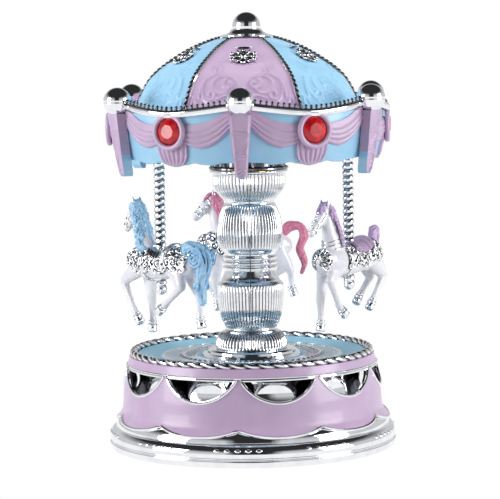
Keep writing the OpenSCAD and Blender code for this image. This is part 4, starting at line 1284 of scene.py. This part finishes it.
pearl = finish("pearl_white_paint", (0.84, 0.84, 0.88), (0.76, 0.76, 0.83), (0.22, 0.34), 0.0, 160, 0.04,
               700, 0.4)
blue_paint = finish("blue_hair_paint", (0.42, 0.67, 0.88), (0.27, 0.53, 0.80), (0.28, 0.42), 0.0, 900, 0.1,
                    1500, 0.3)
lilac_hair_paint = finish("lilac_hair_paint", (0.60, 0.43, 0.68), (0.44, 0.29, 0.55), (0.28, 0.42), 0.0,
                          900, 0.1, 1500, 0.3)
pink_paint = finish("pink_hair_paint", (0.80, 0.28, 0.41), (0.62, 0.16, 0.28), (0.28, 0.42), 0.0, 900, 0.1,
                    1500, 0.3)
HAIR = {"left_horse": (blue_paint, "blue_hair"), "right_horse": (lilac_hair_paint, "lilac_hair"),
        "back_horse": (pink_paint, "pink_hair")}

# %% [markdown]
# Trunk, neck, head and four legs, with the chest and the haunches fuller than the waist. The legs
# are slim below the knee. Each horse has its own stride and its own turn of the head.

# %% Pearl bodies
TRUNK_LINE = [(13.6, 0, 72.6, 3.9, 0.95), (11, 0, 72.4, 5.5, 0.92), (7, 0, 72.0, 6.0, 0.88),
              (1, 0, 71.6, 5.6, 0.92),
         (-5, 0, 71.8, 5.2, 0.95), (-10, 0, 72.4, 5.7, 0.92), (-14, 0, 72.6, 5.4, 0.9),
         (-16.8, 0, 72.2, 4.0, 0.9)]


def trunk_line(horse):
    """The balls of one horse's trunk; some horses have their chest further forward."""
    forward_by = HORSES[horse]["chest"]
    return [(x + forward_by * ease(0, 10, x), y, z, radius, flat) for x, y, z, radius, flat in TRUNK_LINE]


def body_chains(horse):
    """The rows of balls of one horse: trunk, neck, head and legs."""
    poll, muzzle, root = (Vector(p) for p in HORSES[horse]["head"])
    chains = [trunk_line(horse)]
    chains.append([(*(root + Vector((-2.4, 0, 0))), 5.0, 0.8),
                   (*(root.lerp(poll, 0.4) + Vector((-1.2, 0, 0.2))), 3.9, 0.72),
                   (*(root.lerp(poll, 0.75) + Vector((-0.9, 0, 0))), 3.0, 0.75),
                   (*(poll + Vector((-0.8, 0, 0))), 2.5, 0.8)])
    chains.append([(*poll, 2.5, 0.82), (*poll.lerp(muzzle, 0.35), 2.55, 0.74),
                   (*poll.lerp(muzzle, 0.7), 1.75, 0.8),
                   (*poll.lerp(muzzle, 1.02), 1.6, 0.85)])
    cheek = poll.lerp(muzzle, 0.3) + Vector((-1.2, 0, -0.7))
    chains.append([(*cheek, 2.1, 0.8), (*(cheek + Vector((0.9, 0, -0.8))), 1.7, 0.8)])
    for number, leg in enumerate(HORSES[horse]["legs"]):
        hip, knee, fetlock, hoof = (Vector(p) for p in leg)
        thick = 4.3 if number > 1 else 3.6
        chains.append([(*hip, thick, 0.62), (*hip.lerp(knee, 0.5), thick * 0.72, 0.7), (*knee, 1.75, 0.95)])
        chains.append([(*knee, 1.7), (*knee.lerp(fetlock, 0.3), 1.35), (*knee.lerp(fetlock, 0.75), 1.15),
                       (*fetlock, 1.4)])
        chains.append([(*fetlock, 1.35), (*fetlock.lerp(hoof, 0.6), 1.15)])
    return chains


for horse in HORSES:
    body_bm = bmesh.new()
    for chain in body_chains(horse):
        fill_chain(body_bm, chain)
    body_bm = skinned(body_bm, 0.34, 7)
    bmesh.ops.transform(body_bm, matrix=stand(horse), verts=body_bm.verts)
    new_piece(horse + "_pearl_figure", body_bm, horse, [pearl], [horse + "_body"], sharp=180)

# %% [markdown]
# The mane falls from the crest down both sides of the neck in waving locks of three strands, with
# curls laid over the fuller ones. The tail springs from the croup in an arch and hangs in waves.
# Every lock is set by a fixed rule.

# %% Manes and tails
def lock(bm, points, width, phase, waves=1.4):
    """Three waving strands that follow a line of points and taper to their tips."""
    line = [Vector(p) for p in smooth_line(points, 7)]
    for strand in range(3):
        path, sizes = [], []
        for k, point in enumerate(line):
            share = k / (len(line) - 1)
            swing = math.sin(2 * math.pi * waves * share + phase + strand * 0.35)
            spread = (strand - 1) * width * (1 - 0.55 * share)
            run = (line[min(k + 1, len(line) - 1)] - line[max(k - 1, 0)]).normalized()
            across = run.cross(Vector((0, 1, 0)))
            across = across.normalized() if across.length > 0.1 else Vector((1, 0, 0))
            lift = 0.28 * math.cos(2 * math.pi * waves * share + phase + strand * 2.1)
            path.append(point + across * (spread + 0.75 * width * swing * share) + Vector((0, lift, 0)))
            sizes.append(width * (0.62 - 0.3 * share ** 2))
        swept(path, sizes, 6, bm=bm)


def curl(bm, centre, side, wide, thick, turns=1.6, start=0.0):
    """A flat spiral of hair lying against the side of the neck or the tail."""
    path, sizes = [], []
    for k in range(24):
        share = k / 23
        angle = start + share * turns * 2 * math.pi
        radius = wide * (1 - 0.86 * share)
        path.append((centre[0] + radius * math.cos(angle), centre[1] + side * 0.5 * share,
                     centre[2] + radius * math.sin(angle)))
        sizes.append(thick * (0.75 + 0.25 * share))
    swept(path, sizes, 6, bm=bm)


def mane(bm, horse):
    """Locks from the crest down over both sides of the neck, and a forelock."""
    poll, _, root = (Vector(p) for p in HORSES[horse]["head"])
    low, reach_out = HORSES[horse]["mane_low"], HORSES[horse]["mane_reach"]
    crest = [poll + Vector((-1.0, 0, 2.4)), poll + Vector((-3.2, 0, 0.4)),
             root.lerp(poll, 0.55) + Vector((-4.5, 0, 0)),
             root.lerp(poll, 0.25) + Vector((-5.4, 0, 0)), root + Vector((-6.2, 0, 2.2))]
    line = [Vector(p) for p in smooth_line(crest, 6)]
    keep = line[:max(3, int(len(line) * (1 - low)))]
    down = (root - poll).normalized()
    fill_chain(bm, [(*p, 1.2, 0.9) for p in keep[::4]])
    for number, start in enumerate(keep[::2]):
        share = number / (len(keep) / 2)
        for side in (-1, 1):
            out = 2.0 + 1.5 * share
            for rank in range(5 if reach_out > 0.7 else 4):
                forward = (0.5 + 1.25 * rank) * reach_out * (0.34 + 0.7 * share)
                drop = 4.6 + 1.1 * math.sin(number * 2.3 + rank)
                wide = out * side * (0.5, 0.85, 1.15, 1.2, 1.15)[rank]
                points = [start, start + Vector((forward * 0.45, wide * 0.7, 0.1)),
                          start + Vector((forward * 0.9, wide, 0)) + down * drop * 0.35,
                          start + Vector((forward * 1.05, wide * 1.04, 0)) + down * drop * 0.7,
                          start + Vector((forward, wide, 0)) + down * drop]
                lock(bm, points, 0.5, number * 1.7 + rank * 2.0 + side)
            if number % 2 == 1 and reach_out > 0.7:
                curl(bm, start + Vector((0.6 + 2.2 * share, side * out * 1.36, -3.0)), side, 1.4, 0.36,
                     start=number)
    for side in (-1, 0, 1) if low else ():
        fringe = [poll + Vector((-0.6, side * 0.7, 2.8)), poll + Vector((1.6, side * 0.9, 2.3)),
                  poll + Vector((3.0, side * 1.0, 0.6)),
                  poll + Vector((3.4, side * 0.9, -0.8 - 1.6 * (reach_out < 0.9)))]
        lock(bm, fringe, 0.46, side * 1.3)


def tail(bm, horse):
    """Locks that follow the tail's arch, spread to both sides, with curls in the mass."""
    arch, half = HORSES[horse]["tail"], HORSES[horse]["tail_half"]
    fill_chain(bm, [(*p, r) for p, r in zip(arch, (1.2, 1.5, 1.7, 1.5, 1.1, 0.7, 0.5))])
    for number in range(16):
        side = math.cos(number * math.pi / 7.5)
        depth = math.sin(number * math.pi / 7.5)
        points = []
        for k, (x, y, z) in enumerate(arch):
            share = k / (len(arch) - 1)
            swell = 0.22 + 0.78 * math.sin(math.pi * min(1, share * 0.95 + 0.1))
            points.append((x + 2.3 * swell * depth * (half / 3.4),
                           y + side * half * (0.2 + 0.8 * swell) * 0.85,
                           z + 1.6 * swell * depth * math.cos(share * 3)))
        lock(bm, points, 0.5, number * 1.9, 2.4)
    if half > 3:
        for side in (-1, 1):
            curl(bm, Vector(arch[3]) + Vector((1.4, side * (half + 0.2), 2.8)), side, 4.0, 0.55, 2.7, 1.0)
            curl(bm, Vector(arch[4]) + Vector((0.2, side * half * 0.72, -0.4)), side, 1.7, 0.42, 1.6, 0.4)


for horse in HORSES:
    hair_bm = bmesh.new()
    mane(hair_bm, horse)
    tail(hair_bm, horse)
    hair_bm = skinned(hair_bm, 0.19, 1)
    bmesh.ops.transform(hair_bm, matrix=stand(horse), verts=hair_bm.verts)
    paint, slot_name = HAIR[horse]
    new_piece(horse + "_carved_hair", hair_bm, horse, [paint], [horse + "_hair"], sharp=180)

# %% [markdown]
# Saddle cloth and breast collar are thin plated castings full of small curls. They are drawn as a
# sheet wrapped round the trunk, one size larger than it. The curls are spirals round many centres,
# pressed into the sheet, and the hollows between them are stored as an attribute of the mesh, so that
# the plating gets painted shade there.

# %% The curled relief


def lacework(across, up, cell=2.9):
    """Height 0..1 of the curled relief at a place on a sheet, both in mm."""
    row = round(up / (cell * 0.87))
    best, second, pick = 9.0, 9.0, (0.0, 0.0, 0)
    for r in (row - 1, row, row + 1):
        shift = 0.5 * (r % 2)
        column = round(across / cell - shift)
        for c in (column - 1, column, column + 1):
            x = (c + shift + 0.22 * math.sin(c * 12.9 + r * 4.1)) * cell
            y = (r + 0.22 * math.sin(c * 3.7 + r * 9.2)) * cell * 0.87
            gap = math.hypot(across - x, up - y)
            if gap < best:
                best, second, pick = gap, best, (across - x, up - y, c * 3 + r)
            elif gap < second:
                second = gap
    angle = math.atan2(pick[1], pick[0]) * (1 if pick[2] % 2 else -1) + pick[2]
    wave = 0.5 + 0.5 * math.cos(2 * math.pi * best / 1.3 + angle)
    rim = math.exp(-((second - best) / 0.3) ** 2)
    return max(wave ** 0.8, rim)


def trunk_at(s):
    """Radius, flattening and height of the trunk's middle at a place along it."""
    trunk = trunk_line(horse)
    if s > trunk[0][0] or s < trunk[-1][0]:
        end = trunk[0] if s > 0 else trunk[-1]
        over = abs(s - end[0])
        return math.sqrt(max(end[3] ** 2 - over ** 2, 0.01)), end[4], end[2]
    points = sorted(trunk)
    return tuple(along([(p[0], p[k]) for p in points], s) for k in (3, 4, 2))


def wrap(s, angle, lift):
    """A point on the trunk at s, angle degrees from the top (towards +Y), lifted off the skin."""
    radius, flat, middle = trunk_at(s)
    t = math.radians(angle)
    return Vector((s, (radius * flat + lift) * math.sin(t), middle + (radius + lift) * math.cos(t)))


def wrapped_sheet(bm, first, last, half_angle, lift, relief, cells, thick=0.45):
    """A sheet round the trunk from s = first to last; half_angle(s) is how far down it reaches."""
    layer = bm.verts.layers.float.get("hollow") or bm.verts.layers.float.new("hollow")
    sheet = bmesh.ops.create_grid(bm, x_segments=cells[0], y_segments=cells[1], size=0.5)["verts"]
    faces = list({f for v in sheet for f in v.link_faces})
    for point in sheet:
        s = first + (last - first) * (point.co.x + 0.5)
        angle = 2 * point.co.y * half_angle(s)
        high, hollow = relief(s, math.radians(angle) * 5.6)
        # how much painted shade the plating gets at this point
        point[layer] = hollow
        point.co = wrap(s, angle, lift + high)
    bmesh.ops.recalc_face_normals(bm, faces=faces)
    middle = faces[len(faces) // 2]
    if middle.normal.dot(middle.calc_center_median() - Vector((middle.calc_center_median().x, 0, 72))) < 0:
        bmesh.ops.reverse_faces(bm, faces=faces)
    bmesh.ops.solidify(bm, geom=faces, thickness=thick)


def lace_relief(s, around):
    """The rise of the curls, and the painted shade in the hollows between them."""
    high = lacework(s, around)
    return 0.55 * high, 0.97 * (1 - ease(0.28, 0.6, high))


# %% [markdown]
# The harness of each horse: breast collar, saddle cloth, saddle with a raised cantle, girth, bridle,
# ears and hooves. The right horse's saddle is a ribbed lilac shell.

# %% Harness, saddles and hooves
def ring_round(bm, centre, axis, wide, deep, thick, count=20):
    """An oval strap round a limb or the head: wide is its half size along Y, deep across it."""
    axis = Vector(axis).normalized()
    side = Vector((0, 1, 0))
    other = axis.cross(side).normalized()
    path = [Vector(centre) + side * wide * math.cos(2 * math.pi * k / count)
            + other * deep * math.sin(2 * math.pi * k / count)
            for k in range(count)]
    swept(path, thick, 6, True, bm)


def hoof(bm, fetlock, toe):
    """A hoof and its fetlock band: a short cone that widens to the ground face."""
    fetlock, toe = Vector(fetlock), Vector(toe)
    run = (toe - fetlock).normalized()
    start = toe - run * 1.5
    path = [start, start + run * 0.5, start + run * 2.2, start + run * 2.6]
    swept(path, [1.2, 1.45, 1.85, 1.5], 14, bm=bm)
    ring_round(bm, start, run, 1.45, 1.45, 0.42, 14)
    ring_round(bm, start - run * 1.3, run, 1.35, 1.35, 0.3, 14)


def bridle(bm, horse):
    """Straps round the head, a plate on brow and nose, rosettes at the cheeks, and the ears."""
    poll, muzzle, _ = (Vector(p) for p in HORSES[horse]["head"])
    run = (muzzle - poll).normalized()
    front = Vector((0, 1, 0)).cross(run).normalized()
    if front.x < 0:
        front = -front
    ring_round(bm, poll.lerp(muzzle, 0.12), run, 2.15, 2.6, 0.34)
    ring_round(bm, poll.lerp(muzzle, 0.62), run, 1.65, 2.05, 0.34)
    ring_round(bm, poll.lerp(muzzle, 0.9), run, 1.5, 1.75, 0.28)
    for k in range(9):
        share = 0.02 + k * 0.115
        wide = along([(0, 2.45), (0.35, 2.5), (0.7, 1.75), (1.0, 1.6)], share)
        oblong(bm, poll.lerp(muzzle, share) + front * (wide - 0.05), run, front, 0.62, 0.75 - 0.04 * k,
               0.45, 1)
    for side in (-1, 1):
        out = Vector((0, side, 0))
        for share, size in ((0.14, 0.85), (0.36, 0.7), (0.62, 0.75), (0.88, 0.55)):
            wide = along([(0, 1.95), (0.35, 1.9), (0.7, 1.4), (1.0, 1.35)], share)
            oblong(bm, poll.lerp(muzzle, share) + out * (wide + 0.1), run, out, size, size, 0.4)
        strap = [poll.lerp(muzzle, share) + out * (wide + 0.12) for share,
                 wide in ((0.12, 1.95), (0.36, 1.95), (0.62, 1.5), (0.88, 1.35))]
        swept(strap, 0.28, 6, bm=bm)
        ear = [poll + Vector((-0.6, side * 1.2, 1.2)), poll + Vector((-0.4, side * 1.5, 2.6)),
               poll + Vector((-0.1, side * 1.65, 4.2))]
        swept(ear, [0.8, 0.75, 0.12], 8, bm=bm)


def neck_strap(bm, horse, share, thick):
    """A strap round the neck at a share of the way from its root to the poll."""
    poll, _, root = (Vector(p) for p in HORSES[horse]["head"])
    middle = root.lerp(poll, share) + Vector((-1.3, 0, 0.1))
    size = along([(0, 5.0), (0.4, 3.95), (0.75, 3.05), (1, 2.5)], share)
    ring_round(bm, middle, poll - root, size * 0.76, size + 0.1, thick, 28)


for horse in HORSES:
    lace_bm = bmesh.new()
    plain = horse != "right_horse"
    collar_back, collar_front, collar_half = HORSES[horse]["collar"]
    back, front, hem = HORSES[horse]["cloth"]
    wrapped_sheet(lace_bm, back, front, lambda s: hem + 9 * math.cos((s + 5) * 0.62), 0.42, lace_relief,
                  (130, 170))
    wrapped_sheet(lace_bm, collar_back, collar_front, lambda s: collar_half - 1.6 * (17.2 - s), 0.42,
                  lace_relief,
                  (90, 170))
    bmesh.ops.transform(lace_bm, matrix=stand(horse), verts=lace_bm.verts)
    new_piece(horse + "_lace_cloth", lace_bm, horse, [chrome_with_painted_hollow_shade], [horse + "_harness"],
              sharp=80)

    tack_bm = bmesh.new()
    bridle(tack_bm, horse)
    for share, thick in ((0.1, 0.5), (0.2, 0.42),
                         (0.29, 0.34)) if horse == "right_horse" else ((0.1, 0.45),):
        neck_strap(tack_bm, horse, share, thick)
    for leg in HORSES[horse]["legs"]:
        hoof(tack_bm, leg[2], leg[3])
    girth = [wrap(5.0, angle, 0.35) for angle in range(-180, 180, 10)]
    swept(girth, 0.5, 6, True, tack_bm)
    cantle = [wrap(-9.6 + 0.02 * abs(angle), angle, 1.5 - 0.004 * abs(angle)) for angle in range(-78, 79,
                                                                                                 12)]
    swept(cantle, [0.35 + 0.35 * math.cos(math.radians(a)) for a in range(-78, 79, 12)], 8, bm=tack_bm)
    bmesh.ops.transform(tack_bm, matrix=stand(horse), verts=tack_bm.verts)
    new_piece(horse + "_tack_and_hooves", tack_bm, horse, [chrome], sharp=70)

    seat_bm = bmesh.new()

    def seat_relief(s, _around):
        """Ribs that fan over the seat, and a rise towards the cantle and the pommel."""
        rise = 1.3 * ease(-4.5, -9.2, s) if s < -4.5 else 0.9 * ease(-1.5, 1.4, s)
        return rise + 0.32 * abs(math.cos(s * 1.9)) + 0.3, 0.0

    wrapped_sheet(seat_bm, -9.2, 1.4, lambda s: 62 - 16 * ((s + 4) / 5.4) ** 2, 0.7, seat_relief, (70, 40),
                  0.9)
    bmesh.ops.transform(seat_bm, matrix=stand(horse), verts=seat_bm.verts)
    if plain:
        new_piece(horse + "_saddle_seat", seat_bm, horse, [chrome], sharp=80)
    else:
        new_piece(horse + "_saddle_seat", seat_bm, horse, [lilac], sharp=80)

# %% [markdown]
# The poles are plated and moulded as a screw: one ridge climbs round the rod by 2.35 mm a turn. Under
# the belly each ends in a round knob, and its plain upper end turns in a socket in the ceiling.

# %% Twisted poles
KNOB_Z = 62.4
RIDGE_PITCH = 2.35
ROD_R = 1.8
for horse in HORSES:
    low, high = reach(horse + "_pole")[1:]
    pole_bm = bmesh.new()
    rod_top = CEILING_Z - 0.4
    levels = [KNOB_Z + 1.2 + (rod_top - KNOB_Z - 1.2) * k / 250 for k in range(251)]
    section = [(ROD_R, z) for z in levels]
    knob = [(0, 0), (0.9, 0.15), (1.7, 0.75), (2.2, 1.5), (2.4, 2.4), (2.25, 3.2)]
    section = [(radius * 0.9, low + 1.2 + rise * 0.9) for radius, rise in knob] + section
    section += [(1.6, rod_top), (1.6, high - 1.0), (3.0, high - 1.0), (3.0, high), (0, high)]

    def pole_rule(azimuth, radius, height):
        """Raises the ridge that climbs round the rod."""
        if abs(radius - ROD_R) > 0.01:
            return radius, height
        turn = (height / RIDGE_PITCH - azimuth / 360) % 1
        return 1.5 + 0.65 * math.sin(math.pi * turn) ** 0.7, height

    def between_ridges(point):
        """How deep between two turns of the ridge a point lies; the knob and the plain end don't count."""
        ridged = KNOB_Z + 1.2 < point.z < rod_top - 0.1
        return (1 - ease(1.62, 1.9, math.hypot(point.x, point.y))) * ridged

    turned(section, 28, closed=False, rule=pole_rule, bm=pole_bm)
    # painted shade between the turns of the ridge
    store_painted_hollow_shade(pole_bm, between_ridges)
    bmesh.ops.translate(pole_bm, verts=pole_bm.verts, vec=(POLE_PLACES[horse].x, POLE_PLACES[horse].y, 0))
    new_piece(horse + "_twisted_pole", pole_bm, horse, [chrome_with_painted_hollow_shade], [horse + "_pole"],
              sharp=60)

# %% [markdown]
# # Parts taken over from the CAD
# The works under the drum and in the canopy keep their CAD shapes and get real finishes: brass for
# wheels, plates and bushes, steel for the comb, the shafts and the screws, nylon for the sockets and
# the governor, and moulded plastic for the bottom cover.

# %% Finishes of the works
brass = finish("turned_brass", (0.78, 0.56, 0.24), (0.66, 0.45, 0.17), (0.18, 0.34), 1.0, 300, 0.08, 1600)
steel = finish("brushed_steel", (0.56, 0.57, 0.59), (0.44, 0.45, 0.47), (0.2, 0.38), 1.0, 500, 0.1, 2200)
cover_plastic = finish("cover_plastic", (0.72, 0.70, 0.74), (0.66, 0.64, 0.69), (0.45, 0.6), 0.0, 600,
                       0.25, 2600)
nylon = finish("natural_nylon", (0.82, 0.81, 0.76), (0.74, 0.73, 0.68), (0.4, 0.55), 0.0, 400, 0.12, 1800)
# the deck dish gets the lightened blue, painted light against the canopy's shade
KEPT = {
    "deck_dish": blue_with_painted_light, "canopy_ceiling": sky, "canopy_hub": sky, "column_pedestal": chrome,
    "winding_key": chrome,
    "hub_screw": steel, "bottom_cover": cover_plastic, "pole_sockets": nylon, "governor_worm": nylon}
BRASS = ["lower_bush", "upper_bush", "spring_housing", "note_cylinder", "cylinder_arbor", "train_wheel",
         "crown_wheel", "movement_bedplate", "cylinder_bracket", "governor_bracket"]
for name, node in frame["nodes"].items():
    coat = KEPT.get(name, brass if name in BRASS else steel)
    node.data.materials.clear()
    node.data.materials.append(coat)
print(len(frame["nodes"]), "nodes given a finish")
